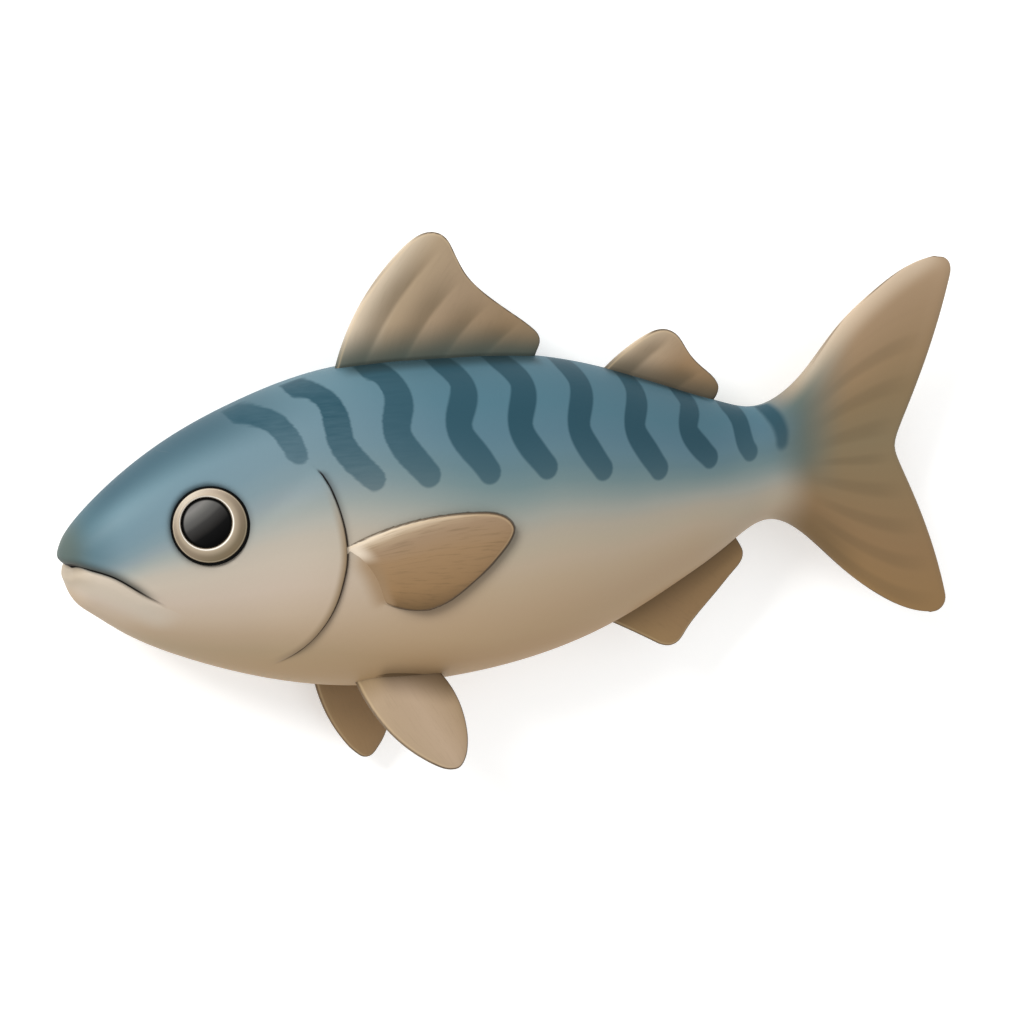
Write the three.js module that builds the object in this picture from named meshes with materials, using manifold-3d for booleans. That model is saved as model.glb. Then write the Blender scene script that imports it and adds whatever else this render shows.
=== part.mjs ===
// A whole raw fish of the mackerel kind, lying on its right side with its left flank up.
//
// The fish is drawn in a side view of its own: x runs from the tip of the snout to the tail, y up to
// the back, and z out of the left flank from the mid-plane. The skin is one loft over back line, belly
// line and flank width; the fins are thin pillows over fans of rays; mouth and gill slits are carved.
// Lengths are in millimetres. The finished part stands with z = 0 on the table.
import * as THREE from "three";
import { mergeVertices } from "three/addons/utils/BufferGeometryUtils.js";
import Module from "manifold-3d";

const wasm = await Module();
wasm.setup();

// ---- Driving dimensions ----

const REST_DEPTH = 25.5; // mid-plane down to the table: the lower flank is pressed flat a little
const PRESS_SOFTNESS = 1.2; // height over which the flank bends into its flat
const FLANK_FULLNESS = 2.25; // 2 is an ellipse, more is a flatter flank
const TAIL_FULLNESS = 6; // the tail's sections are plates with blunt edges
const TAIL_EDGE = 2.6; // length over which the tail's trailing edge rounds off
const FORK_ROUNDING = 0.09; // how round the fork is, as a share of a lobe
const LOBE_SWELL = 0.45; // how far the trailing edge swells out of a straight line
const TAIL_RAYS = 9; // ridges across the tail
const TAIL_RIDGE = 0.1; // their height, as a share of the tail's thickness

const SKIN_ROWS = 54;
const SKIN_COLUMNS = 36;

// Sections of the trunk, at a distance from the snout: heights of back and belly, half width of the
// flanks, and the level where the section is widest.
const TRUNK = [
  { at: 0, back: -0.8, belly: -0.8, flank: 0, level: -0.8 }, // tip of the snout
  { at: 0.9, back: 2.4, belly: -7, flank: 3.6, level: -2.4 },
  { at: 2.4, back: 4.9, belly: -12, flank: 6.2, level: -3 }, // lips
  { at: 9, back: 12.1, belly: -19.5, flank: 11, level: -3.6 },
  { at: 20, back: 20.5, belly: -27.5, flank: 15.2, level: -3.6 }, // corner of the mouth
  { at: 38, back: 31, belly: -36.8, flank: 19.8, level: -3.6 }, // eye
  { at: 58, back: 38.9, belly: -44.6, flank: 23.6, level: -4 },
  { at: 85, back: 44.8, belly: -51.5, flank: 27, level: -4.5 }, // shoulder
  { at: 120, back: 45.2, belly: -53.4, flank: 28.5, level: -4.5 }, // deepest
  { at: 150, back: 42.8, belly: -50.5, flank: 26.5, level: -4 },
  { at: 175, back: 36.4, belly: -44, flank: 22, level: -3 }, // vent
  { at: 198, back: 28.2, belly: -34.5, flank: 16.4, level: -2 },
  { at: 216, back: 22, belly: -25.6, flank: 11.6, level: -1 },
  { at: 232, back: 19.9, belly: -17.8, flank: 8, level: 0.5 }, // wrist of the tail
];

// Sections of the tail, which sweep back towards the tips: x of the middle, then x and y where the
// section meets the upper and the lower leading edge.
const TAIL = [
  { at: 243, middle: 243, back: [244, 28.4], belly: [244.5, -22.9], flank: 4.9, level: 1 },
  { at: 255, middle: 254, back: [257, 42.6], belly: [259.8, -36.7], flank: 3.3, level: 1.5 },
  { at: 266, middle: 262.5, back: [270, 53], belly: [274.1, -47.2], flank: 2.5, level: 1.5 },
  { at: 277, middle: 270, back: [282.9, 60.1], belly: [287.7, -54.8], flank: 1.9, level: 1.5 },
  { at: 285, middle: 275.8, back: [292.4, 62.4], belly: [296.5, -57.4], flank: 1.5, level: 1.5 }, // tips
  { at: 290, middle: 279.6, back: [298.7, 59], belly: [302, -55.4], flank: 1.3, level: 1.5 },
];

// Fins. A fan of rays runs from the base, inside the body, to the margin, which is listed from the end
// of the leading ray to the end of the last one. bend bows the leading and the last ray forwards.
const DORSAL_FIN = {
  base: [[83.4, 40], [149, 37]],
  margin: [
    [108, 79.4], [112.4, 81.9], [116.6, 82.8], [120, 80.2], [123.2, 75.9],
    [127.4, 69], [134.6, 62], [142.1, 56.3], [149.4, 50.6], [151.2, 46.6],
  ],
  bend: [3.8, 0],
  thickness: [4.4, 1.7],
  ridges: 6,
  cells: [10, 24],
};
const SECOND_DORSAL_FIN = {
  base: [[171, 32], [207, 18]],
  margin: [
    [187, 45.3], [191, 46.9], [194.8, 46.8], [198.4, 44.4], [202.5, 39.5],
    [206, 35.5], [209.7, 32.1], [212.8, 27.6], [212.4, 23.6],
  ],
  bend: [1.4, 0],
  thickness: [3.6, 1.5],
  ridges: 3,
  cells: [7, 18],
};
const ANAL_FIN = {
  base: [[175.4, -39.6], [218, -17.6]],
  margin: [
    [193, -53.9], [197, -55.5], [200.4, -54.2], [203.6, -50.6], [207.3, -46.3],
    [214.1, -39.6], [220.4, -32.8], [223.2, -28], [222.2, -24],
  ],
  bend: [0.8, 0],
  thickness: [3.6, 1.5],
  ridges: 3,
  cells: [7, 18],
};
const LEFT_PELVIC_FIN = {
  base: [[84.6, -44], [111.4, -44]],
  margin: [
    [105.8, -73], [109.2, -74.7], [111.8, -75.4], [114, -75.1], [115.9, -73.6], [117.5, -71], [118.1, -67],
  ],
  bend: [3.8, -1.2],
  thickness: [4, 1.6],
  ridges: 3,
  cells: [10, 14],
  root: { level: -48, offset: 12 }, // its distance from the mid-plane at a height
  splay: 20, // degrees outwards
};
const RIGHT_PELVIC_FIN = {
  base: [[79.6, -44], [101, -44]],
  margin: [
    [94, -77.8], [96.8, -80.5], [99.2, -82], [101.5, -81.8], [103.4, -79.8], [105.2, -76.8], [106.6, -73],
  ],
  bend: [2.8, -1.2],
  thickness: [4, 1.6],
  ridges: 3,
  cells: [10, 14],
  root: { level: -48, offset: 11 },
  splay: 8,
};
const PECTORAL_FIN = {
  base: [[75.6, -1.4], [85.6, -18]],
  margin: [
    [119.8, 4.9], [123.5, 3.8], [126.7, 1.7], [128.2, -0.8], [127.6, -3.4], [125.2, -6.6],
    [121.1, -10.8], [116.6, -14.6], [112.1, -18], [108.7, -20.2], [105.2, -21.8], [101.7, -22.7],
  ],
  bend: [3.6, -1.2],
  thickness: [2.6, 1.6],
  ridges: 5,
  cells: [11, 20],
  lift: 2, // how far the free end stands off the flank
  sink: 3, // how deep the lower end of the base is sunk into it
};

const MOUTH = { // the slit in the side view, from the front to the corner
  line: [
    [0, -3.9], [1.2, -3.4], [3.8, -3.3], [8, -4.3], [11.8, -5.8], [15.6, -8.1], [20.3, -11.4], [26, -14.9],
  ],
  width: 1.1,
  depth: 2.4,
};
const GILL = { // the rear edge of the gill cover, from the top
  line: [
    [65.6, 25.4], [69.3, 22], [72.3, 17.7], [75.2, 9.7], [76.9, 1.6], [77, -6.5],
    [76.2, -10.9], [74.4, -17.6], [71.5, -23.7], [67.7, -29.1], [63.3, -33.5], [56.2, -38.3],
  ],
  width: 1.8,
  depth: 1.6,
  swell: 1.2, // how far the cover stands proud in front of its edge
  swellReach: 16,
};
const PRESSED_EDGE = { width: 1.1, depth: 0.6 }; // outline of the fin that lies under the fish

const EYE = { at: [38.7, 7.7], radius: 10.6, gap: 0.35, floor: -4 };
// The eyeball's outline from its rim to its middle: share of the radius, height over the skin.
const EYE_OUTLINE = [
  [0.8, -3.6], [0.99, -2.4], [1, 0.3], [0.96, 1.25], [0.86, 1.8], [0.76, 1.6], [0.72, 1.05],
  [0.69, 1.1], [0.66, 1.9], [0.55, 2.75], [0.36, 3.4], [0.18, 3.7], [0, 3.8],
];
const EYE_SIDES = 30;

const COLOURS = { skin: 0x8a9ea6, eye: 0x2a2724 };

// ---- Curves ----

// The natural cubic spline through values at knots, as a function.
function spline(knots, values) {
  const last = knots.length - 1;
  const step = knots.slice(1).map((k, i) => k - knots[i]);
  const slope = step.map((h, i) => (values[i + 1] - values[i]) / h);
  const curve = new Array(last + 1).fill(0);
  const carry = new Array(last + 1).fill(0);
  for (let i = 1; i < last; i++) {
    const pivot = 2 * (step[i - 1] + step[i]) - step[i - 1] * carry[i - 1];
    carry[i] = step[i] / pivot;
    curve[i] = (6 * (slope[i] - slope[i - 1]) - step[i - 1] * curve[i - 1]) / pivot;
  }
  for (let i = last - 1; i > 0; i--) curve[i] -= carry[i] * curve[i + 1];
  return (t) => {
    let i = 0;
    while (i < last - 1 && t > knots[i + 1]) i++;
    const right = (t - knots[i]) / step[i];
    const left = 1 - right;
    const sag = ((left ** 3 - left) * curve[i] + (right ** 3 - right) * curve[i + 1]) * step[i] ** 2 / 6;
    return left * values[i] + right * values[i + 1] + sag;
  };
}

// A spline through points, run by the distance along them, for t from 0 to 1.
function outline(points) {
  const travelled = [0];
  for (let i = 1; i < points.length; i++) {
    travelled.push(travelled[i - 1] + Math.hypot(...points[i].map((c, k) => c - points[i - 1][k])));
  }
  const total = travelled.at(-1);
  const axes = points[0].map((_, k) => spline(travelled, points.map((p) => p[k])));
  return (t) => axes.map((axis) => axis(t * total));
}

const mix = (a, b, t) => a + (b - a) * t;
const clamp01 = (t) => Math.min(1, Math.max(0, t));
const smooth = (t) => clamp01(t) ** 2 * (3 - 2 * clamp01(t));
// 0 at both ends of a plate and nearly 1 between, with round shoulders.
const pillow = (t, sharpness) => Math.sqrt(Math.max(0, 1 - Math.abs(2 * t - 1) ** sharpness));
// Even steps made denser towards both ends.
const eased = (t) => (1 - Math.cos(Math.PI * t)) / 2;

// ---- Skin ----

// Sections are looked up by the root of the distance, which lets the snout be blunt.
const sections = [
  ...TRUNK.map((s) => ({ ...s, middle: s.at, back: [s.at, s.back], belly: [s.at, s.belly] })),
  ...TAIL,
];
const roots = sections.map((s) => Math.sqrt(s.at));
const along = (pick) => spline(roots, sections.map(pick));
const guide = {
  middle: along((s) => s.middle - s.at),
  backX: along((s) => s.back[0] - s.at),
  backY: along((s) => s.back[1]),
  bellyX: along((s) => s.belly[0] - s.at),
  bellyY: along((s) => s.belly[1]),
  flank: along((s) => s.flank),
  level: along((s) => s.level),
};
const SKIN_END = sections.at(-1).at;
const WRIST = TRUNK.at(-1).at;

// How full a section is: from a plump ellipse on the trunk to a plate on the tail.
const fullness = (at) => mix(FLANK_FULLNESS, TAIL_FULLNESS, smooth((at - WRIST + 12) / 40));

const gillLine = outline(GILL.line);
const gillPoints = Array.from({ length: 81 }, (_, i) => gillLine(i / 80));

// How far the gill cover swells at a point of the side view: most just in front of its edge, fading
// towards the eye and towards both ends of the edge, and nothing behind the edge.
function gillSwell(x, y) {
  let nearest = Infinity;
  let share = 0;
  let inside = false;
  gillPoints.forEach(([gx, gy], i) => {
    const distance = Math.hypot(x - gx, y - gy);
    if (distance >= nearest) return;
    nearest = distance;
    share = i / 80;
    inside = x < gx || (share > 0.6 && y > gy);
  });
  if (!inside) return 0;
  const ends = smooth(share * 5) * smooth((1 - share) * 5);
  return GILL.swell * Math.exp(-((nearest / GILL.swellReach) ** 2)) * ends;
}

// The skin's half thickness at height share v (-1 belly, 1 back) of the section at a distance.
function halfWidth(at, v) {
  const rounding = Math.sqrt(Math.max(0, 1 - clamp01((at - SKIN_END + TAIL_EDGE) / TAIL_EDGE) ** 2));
  const ridge = 1 + TAIL_RIDGE * Math.cos(Math.PI * TAIL_RAYS * v) * smooth((at - WRIST - 5) / 25);
  const root = Math.sqrt(at);
  return guide.flank(root) * rounding * ridge * Math.sqrt(Math.max(0, 1 - Math.abs(v) ** fullness(at)));
}

// Presses what would reach below the table up to it, with a soft bend around the flat.
function press(z) {
  const height = z + REST_DEPTH;
  if (height >= PRESS_SOFTNESS) return z;
  return Math.max(0, height + PRESS_SOFTNESS) ** 2 / (4 * PRESS_SOFTNESS) - REST_DEPTH;
}

// A point of the skin: turn goes once round the section, 0 on the left flank and a quarter on the back.
function skinPoint(at, turn) {
  const root = Math.sqrt(at);
  const v = Math.sin(turn);
  const edgeX = v > 0 ? guide.backX(root) : guide.bellyX(root);
  const edgeY = v > 0 ? guide.backY(root) : guide.bellyY(root);
  const height = Math.abs(v);
  const swell = height * (1 + LOBE_SWELL * (1 - height));
  const round = (reach) => Math.hypot(reach, FORK_ROUNDING) - FORK_ROUNDING;
  const x = at + mix(guide.middle(root), edgeX, round(swell) / round(1));
  const y = mix(guide.level(root), edgeY, height);
  const side = Math.sign(Math.round(Math.cos(turn) * 1e9));
  const z = side * (halfWidth(at, v) + gillSwell(x, y) * Math.abs(Math.cos(turn)));
  return [x, y, press(z)];
}

// The flank's distance from the mid-plane at a point of the side view, without the swell of the cover.
function flankAt(x, y) {
  const root = Math.sqrt(Math.max(0, x));
  const level = guide.level(root);
  const v = (y - level) / Math.max(0.1, y > level ? guide.backY(root) - level : level - guide.bellyY(root));
  return halfWidth(Math.max(0, x), Math.max(-1, Math.min(1, v)));
}

// The skin's outward direction at a point of the side view, levelled over a reach around it.
function skinNormal(x, y, side, reach) {
  const front = Math.max(0, x - reach);
  const alongX = (flankAt(x + reach, y) - flankAt(front, y)) / (x + reach - front);
  const alongY = (flankAt(x, y + reach) - flankAt(x, y - reach)) / (2 * reach);
  return new THREE.Vector3(-alongX, -alongY, 1).normalize().multiply(new THREE.Vector3(1, 1, side));
}

// ---- Solids ----

// A closed solid from rings of points: each ring closes on itself, and the first and last fold shut.
function ringsToSolid(rings) {
  const count = rings[0].length;
  const index = [];
  for (let i = 0; i + 1 < rings.length; i++) {
    for (let j = 0; j < count; j++) {
      const [a, b] = [i * count + j, i * count + (j + 1) % count];
      index.push(a, b, a + count, b, b + count, a + count);
    }
  }
  const geometry = new THREE.BufferGeometry();
  geometry.setAttribute("position", new THREE.Float32BufferAttribute(rings.flat(2), 3));
  geometry.setIndex(index);
  return geometryToSolid(geometry);
}

function geometryToSolid(geometry) {
  const bare = geometry.clone();
  bare.deleteAttribute("normal");
  bare.deleteAttribute("uv");
  const merged = mergeVertices(bare, 1e-4);
  const index = merged.index.array;
  const faces = [];
  for (let i = 0; i < index.length; i += 3) {
    const [a, b, c] = index.slice(i, i + 3);
    if (a !== b && b !== c && a !== c) faces.push(a, b, c);
  }
  const solid = new wasm.Manifold(new wasm.Mesh({
    numProp: 3,
    vertProperties: merged.attributes.position.array,
    triVerts: new Uint32Array(faces),
  }));
  if (solid.volume() > 0) return solid;
  for (let i = 0; i < faces.length; i += 3) [faces[i], faces[i + 1]] = [faces[i + 1], faces[i]];
  return new wasm.Manifold(new wasm.Mesh({
    numProp: 3,
    vertProperties: merged.attributes.position.array,
    triVerts: new Uint32Array(faces),
  }));
}

function solidToMesh(name, solid, material) {
  const { vertProperties, triVerts, numProp } = solid.getMesh();
  const geometry = new THREE.BufferGeometry();
  const positions = new Float32Array(vertProperties.length / numProp * 3);
  for (let i = 0; i < positions.length / 3; i++) {
    for (let k = 0; k < 3; k++) positions[3 * i + k] = vertProperties[numProp * i + k];
  }
  geometry.setAttribute("position", new THREE.BufferAttribute(positions, 3));
  geometry.setIndex(new THREE.BufferAttribute(new Uint32Array(triVerts), 1));
  geometry.computeVertexNormals();
  const mesh = new THREE.Mesh(geometry, material);
  mesh.name = name;
  return mesh;
}

function skin() {
  const rings = [];
  for (let i = 0; i <= SKIN_ROWS; i++) {
    const at = SKIN_END * eased(i / SKIN_ROWS);
    rings.push(Array.from({ length: SKIN_COLUMNS }, (_, j) => skinPoint(at, 2 * Math.PI * j / SKIN_COLUMNS)));
  }
  return ringsToSolid(rings);
}

// A point of a fin's fan in the side view: a share of the way across the fan and out along its ray.
function rayPoint({ base, margin, bend }, across, out) {
  const [front, back] = base;
  const root = front.map((c, k) => mix(c, back[k], across));
  const end = outline(margin)(across);
  const [dx, dy] = [end[0] - root[0], end[1] - root[1]];
  const forwards = Math.sign((back[0] - front[0]) * dy - (back[1] - front[1]) * dx);
  const bow = 4 * out * (1 - out) * mix(...bend, across) * forwards / Math.hypot(dx, dy);
  return [root[0] + dx * out - dy * bow, root[1] + dy * out + dx * bow];
}

// A fin as a thin pillow over its fan. place puts a point of the side view, with its offset through the
// fin's thickness and its shares across the fan and out along the ray, into the fish.
function fin(shape, place) {
  const [rows, columns] = shape.cells;
  const rings = [];
  for (let i = 0; i <= rows; i++) {
    const out = eased(i / rows);
    const ring = [];
    for (let j = 0; j < 2 * columns; j++) {
      const across = eased(j / columns);
      const ridge = 1 + 0.22 * Math.cos(2 * Math.PI * shape.ridges * across) * smooth(out * 3);
      const half = mix(...shape.thickness, out) / 2 * ridge * pillow(out, 8) * pillow(across, 8);
      ring.push(place(rayPoint(shape, across, out), j <= columns ? half : -half, across, out));
    }
    rings.push(ring);
  }
  return ringsToSolid(rings);
}

// A fin in the mid-plane.
const upright = ([x, y], offset) => [x, y, offset];

// A pelvic fin, splayed outwards from the belly; side is 1 on the left and -1 on the right.
function splayed({ root, splay }, side) {
  const lean = THREE.MathUtils.degToRad(splay);
  return ([x, y], offset) => [
    x,
    y + side * offset * Math.sin(lean),
    side * (root.offset + (root.level - y) * Math.tan(lean)) + offset * Math.cos(lean),
  ];
}

// A pectoral fin, folded along the flank: free at its end on the left, pressed flat on the right.
function folded({ lift, sink }, side) {
  return ([x, y], offset, across, out) => {
    const clearance = (side > 0 ? lift * out ** 2 : 0) - sink * across * (1 - out) ** 2;
    return [x, y, press(side * (flankAt(x, y) + clearance + offset))];
  };
}

// A carved slit: a wedge laid along a line of the side view, fading at its ends. It runs from one share
// of the line to another, and shares below 0 are on the right flank.
function slit(line, { width, depth }, from, to) {
  const path = outline(line);
  const steps = Math.round(line.length * 2.5 * Math.abs(to - from));
  const at = (i) => {
    const share = mix(from, to, i / steps);
    const side = share < 0 ? -1 : 1;
    const [x, y] = path(Math.abs(share) ** 1.3);
    return [new THREE.Vector3(x, y, press(side * flankAt(x, y))), skinNormal(x, y, side, 0.8)];
  };
  const rings = [];
  for (let i = 0; i <= steps; i++) {
    const [point, normal] = at(i);
    const tangent = at(Math.min(steps, i + 0.5))[0].sub(at(Math.max(0, i - 0.5))[0]);
    const across = tangent.cross(normal).normalize();
    const fade = Math.max(0.06, pillow(i / steps, 4));
    const corner = (sideways, up) => point.clone().addScaledVector(across, sideways * width * fade)
      .addScaledVector(normal, up).toArray();
    const floor = -depth * fade;
    rings.push([corner(-0.9, 1.6), corner(0.9, 1.6), corner(0.1, floor), corner(-0.1, floor)]);
  }
  const centre = (ring) => ring[0].map((_, k) => ring.reduce((sum, p) => sum + p[k] / ring.length, 0));
  const tip = (ring) => ring.map(() => centre(ring));
  return ringsToSolid([tip(rings[0]), ...rings, tip(rings.at(-1))]);
}

// The outline of a fin as a line of the side view, from the front of its base round to the back.
function finEdge(shape) {
  const shares = [0.25, 0.5, 0.75];
  return [
    ...shares.map((out) => rayPoint(shape, 0, out)),
    ...shape.margin,
    ...shares.map((out) => rayPoint(shape, 1, 1 - out)),
  ];
}

// ---- Eyes ----

// Turns a lathed solid's axis onto the skin's normal at the eye.
function seatEye(geometry, side) {
  const [x, y] = EYE.at;
  const reach = EYE.radius * 0.8;
  const normal = skinNormal(x, y, side, reach);
  const sides = [[reach, 0], [-reach, 0], [0, reach], [0, -reach]];
  const rim = sides.reduce((sum, [dx, dy]) => sum + flankAt(x + dx, y + dy) / 4, 0);
  geometry.applyQuaternion(new THREE.Quaternion().setFromUnitVectors(new THREE.Vector3(0, 1, 0), normal));
  geometry.translate(x, y, side * rim);
  return geometryToSolid(geometry);
}

function eyeball(side) {
  const outlinePoints = [[0, EYE_OUTLINE[0][1]], ...EYE_OUTLINE];
  const profile = outlinePoints.map(([share, height]) => new THREE.Vector2(share * EYE.radius, height));
  return seatEye(new THREE.LatheGeometry(profile, EYE_SIDES), side);
}

// The socket is a straight cup around the eyeball, with a narrow gap to it.
function socket(side) {
  const radius = EYE.radius + EYE.gap;
  const profile = [[0, EYE.floor], [radius - 1.5, EYE.floor], [radius, EYE.floor + 1.5], [radius, 8], [0, 8]];
  return seatEye(new THREE.LatheGeometry(profile.map(([r, h]) => new THREE.Vector2(r, h)), EYE_SIDES), side);
}

// ---- The fish ----

const grown = [
  fin(DORSAL_FIN, upright),
  fin(SECOND_DORSAL_FIN, upright),
  fin(ANAL_FIN, upright),
  fin(LEFT_PELVIC_FIN, splayed(LEFT_PELVIC_FIN, 1)),
  fin(RIGHT_PELVIC_FIN, splayed(RIGHT_PELVIC_FIN, -1)),
  fin(PECTORAL_FIN, folded(PECTORAL_FIN, 1)),
  fin(PECTORAL_FIN, folded(PECTORAL_FIN, -1)),
].reduce((fish, piece) => fish.add(piece), skin());

const carved = [
  slit(MOUTH.line, MOUTH, -1, 1),
  slit(GILL.line, GILL, 0, 1),
  slit(GILL.line, GILL, 0, -1),
  slit(finEdge(PECTORAL_FIN), PRESSED_EDGE, 0, -1),
  socket(1),
  socket(-1),
]
  .reduce((fish, tool) => fish.subtract(tool), grown);

const skinMaterial = new THREE.MeshStandardMaterial({ color: COLOURS.skin, roughness: 0.45, metalness: 0 });
const eyeMaterial = new THREE.MeshStandardMaterial({ color: COLOURS.eye, roughness: 0.15, metalness: 0 });

const fish = new THREE.Group();
fish.add(
  solidToMesh("fish", carved.simplify(0.02), skinMaterial),
  solidToMesh("eye_left", eyeball(1), eyeMaterial),
  solidToMesh("eye_right", eyeball(-1), eyeMaterial),
);

// The origin goes under the middle of the fish, on the table.
const bounds = new THREE.Box3().setFromObject(fish);
const middle = bounds.getCenter(new THREE.Vector3());
fish.position.set(-middle.x, -middle.y, -bounds.min.z);

export default fish;
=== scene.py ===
import math

import bmesh
import bpy
import numpy as np
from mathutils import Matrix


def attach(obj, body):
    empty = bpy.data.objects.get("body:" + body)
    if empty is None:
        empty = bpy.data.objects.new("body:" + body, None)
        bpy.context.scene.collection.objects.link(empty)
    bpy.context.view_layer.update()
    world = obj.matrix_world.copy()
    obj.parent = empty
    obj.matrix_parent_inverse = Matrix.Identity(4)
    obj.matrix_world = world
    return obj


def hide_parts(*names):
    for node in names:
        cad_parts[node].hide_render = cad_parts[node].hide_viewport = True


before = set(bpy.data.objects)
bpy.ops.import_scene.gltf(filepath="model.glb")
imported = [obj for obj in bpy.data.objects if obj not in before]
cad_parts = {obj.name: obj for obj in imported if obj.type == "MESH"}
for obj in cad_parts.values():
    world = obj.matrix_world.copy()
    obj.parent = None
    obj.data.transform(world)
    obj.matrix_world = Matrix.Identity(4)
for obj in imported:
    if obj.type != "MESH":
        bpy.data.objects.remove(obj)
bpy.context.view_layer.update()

# A whole raw fish of the mackerel kind, lying on its right side with its left flank up.
#
# The fish is drawn in a side view of its own, in millimetres: x runs from the tip of the snout to the tail,
# y up to the back, and z out of the left flank from the mid-plane. Its skin is one loft over back line, belly
# line and flank width, its fins are thin pillows over fans of rays, and its eyes are turned on the skin's
# normal. to_part() takes that view into the part's frame, in metres, with the table at z = 0.

MM = 0.001
SNOUT = np.array([-151.0, -0.382, 25.5])  # the side view's origin in the part's frame

# ---- Driving dimensions of the solids, which the looks keep ----

REST_DEPTH = 25.5  # mid-plane down to the table: the lower flank is pressed flat a little
PRESS_SOFTNESS = 1.2  # height over which the flank bends into its flat
FLANK_FULLNESS = 2.25  # 2 is an ellipse, more is a flatter flank
TAIL_FULLNESS = 6  # the tail's sections are plates with blunt edges
TAIL_EDGE = 2.6  # length over which the tail's trailing edge rounds off
FORK_ROUNDING = 0.09  # how round the fork is, as a share of a lobe
LOBE_SWELL = 0.45  # how far the trailing edge swells out of a straight line
TAIL_RAYS = 9  # ridges across the tail
TAIL_RIDGE = 0.02  # their height, as a share of the tail's thickness
TIP_ROUNDING = 5.8  # radius of the corner between the trailing edge and each tip
TAIL_LOBE = 59  # how far each tip of the tail lies from its middle

# Sections of the trunk: distance from the snout, heights of back and belly, half width of the flanks, and the
# level where the section is widest.
TRUNK = [
    (0, -0.8, -0.8, 0, -0.8),  # tip of the snout
    (0.9, 1.9, -7.9, 3.6, -2.4),
    (2.4, 4.3, -12.4, 6.2, -3),  # lips
    (9, 11.3, -19.3, 11, -3.6),
    (20, 20.1, -27.4, 15.2, -3.6),  # corner of the mouth
    (38, 30.7, -36.8, 19.8, -3.6),  # eye
    (58, 38.6, -44.6, 23.6, -4),
    (85, 44.9, -51.2, 27, -4.5),  # shoulder
    (120, 45.1, -53.1, 28.5, -4.5),  # deepest
    (150, 42.6, -50.2, 26.5, -4),
    (175, 36.3, -43.7, 22, -3),  # vent
    (198, 28.1, -33.9, 16.4, -2),
    (216, 21.7, -24.6, 11.6, -1),
    (232, 20.1, -17.8, 8, 0.5),  # wrist of the tail
]
WRIST = 232
# Sections of the tail: distance, x of the middle, x and y on the upper and on the lower leading edge, half
# thickness and level.
TAIL = [
    (243, 243, (244, 27.8), (244.5, -23.1), 4.9, 1),
    (255, 254, (256.8, 42.3), (259.8, -36.6), 3.3, 1.5),
    (266, 262.5, (269.9, 52.7), (273.9, -47.5), 2.5, 1.5),
    (277, 270, (282.5, 59.7), (287.5, -54.9), 1.9, 1.5),
    (285, 275.7, (293.2, 62.1), (297.2, -57.3), 1.5, 1.5),  # tips
    (290, 279.8, (300.1, 61.7), (303.5, -57.4), 1.3, 1.5),
]
SKIN_END = 290

# Where the left pelvic fin creases the belly.
PELVIC_CREASE = [(90.4, -45.9), (94, -45.4), (98, -45.9), (103.4, -47), (108.7, -48.6), (113.2, -50.1)]

# Fins: the base from front to back, the margin from the leading ray's end to the last one's, how far the
# first and the last ray bow forwards, and the thickness at the base and at the margin. The line on which a
# fin comes out of the body is the back or the belly line, unless it is given as its contact.
DORSAL_FIN = {
    "base": [(83.8, 40), (147.8, 37.5)],
    "margin": [
        (108, 79.5), (112.4, 82), (116.7, 82.5), (120.4, 80.8), (123, 76.9), (127.3, 69.1), (134.6, 62),
        (142.2, 56.4), (149.2, 51.1), (151.2, 48.7), (151.5, 46.7), (150.7, 45),
    ],
    "bend": (4, 0),
    "thickness": (4.4, 1.7),
}
SECOND_DORSAL_FIN = {
    "base": [(169.8, 33.3), (208.4, 18.5)],
    "margin": [
        (187, 45.4), (191, 46.8), (194.8, 46.8), (198.5, 44.9), (202.4, 39.6), (206.1, 35.3), (209.7, 32.2),
        (212.8, 29), (213.7, 26.8), (213, 24.2),
    ],
    "bend": (0.9, 0),
    "thickness": (3.6, 1.5),
}
ANAL_FIN = {
    "base": [(170.4, -41.2), (218.6, -18.5)],
    "margin": [
        (193.6, -54), (196, -54.9), (198.3, -55.1), (200.5, -54.4), (203.4, -51.1), (208, -45.8),
        (215.2, -38.8), (220.5, -33.5), (223.4, -30.1), (223.8, -27.7), (222.7, -25.2),
    ],
    "bend": (-0.2, 0),
    "thickness": (3.6, 1.5),
}
LEFT_PELVIC_FIN = {
    "base": [(84.6, -44), (108.2, -44)],
    "margin": [
        (105.6, -73.3), (109, -75.1), (111.9, -75.8), (114.3, -75.5), (116, -74), (117.5, -71),
        (118.2, -67.2),
    ],
    "bend": (3.8, -3.1),
    "thickness": (3.4, 1.6),
    "root": (-48, 13),  # a height, and the fin's distance from the mid-plane there
    "splay": 17.7,  # degrees outwards
    "sink": (3.2, 1),  # how deep the front and the rear end of the base are sunk into the belly
    "contact": [(84.8, -48.4), (87.6, -47.2), *PELVIC_CREASE],
}
RIGHT_PELVIC_FIN = {
    "base": [(79.6, -44), (101, -44)],
    "margin": [
        (94, -77.8), (96.8, -80.5), (99.2, -82), (101.5, -81.8), (103.4, -79.8), (105.2, -76.8), (106.6, -73),
    ],
    "bend": (2.7, -1.2),
    "thickness": (4, 1.6),
    "root": (-48, 11),
    "splay": 8,
    "sink": (0, 0),
    "contact": [(76, -53), (108, -53)],
}
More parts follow.
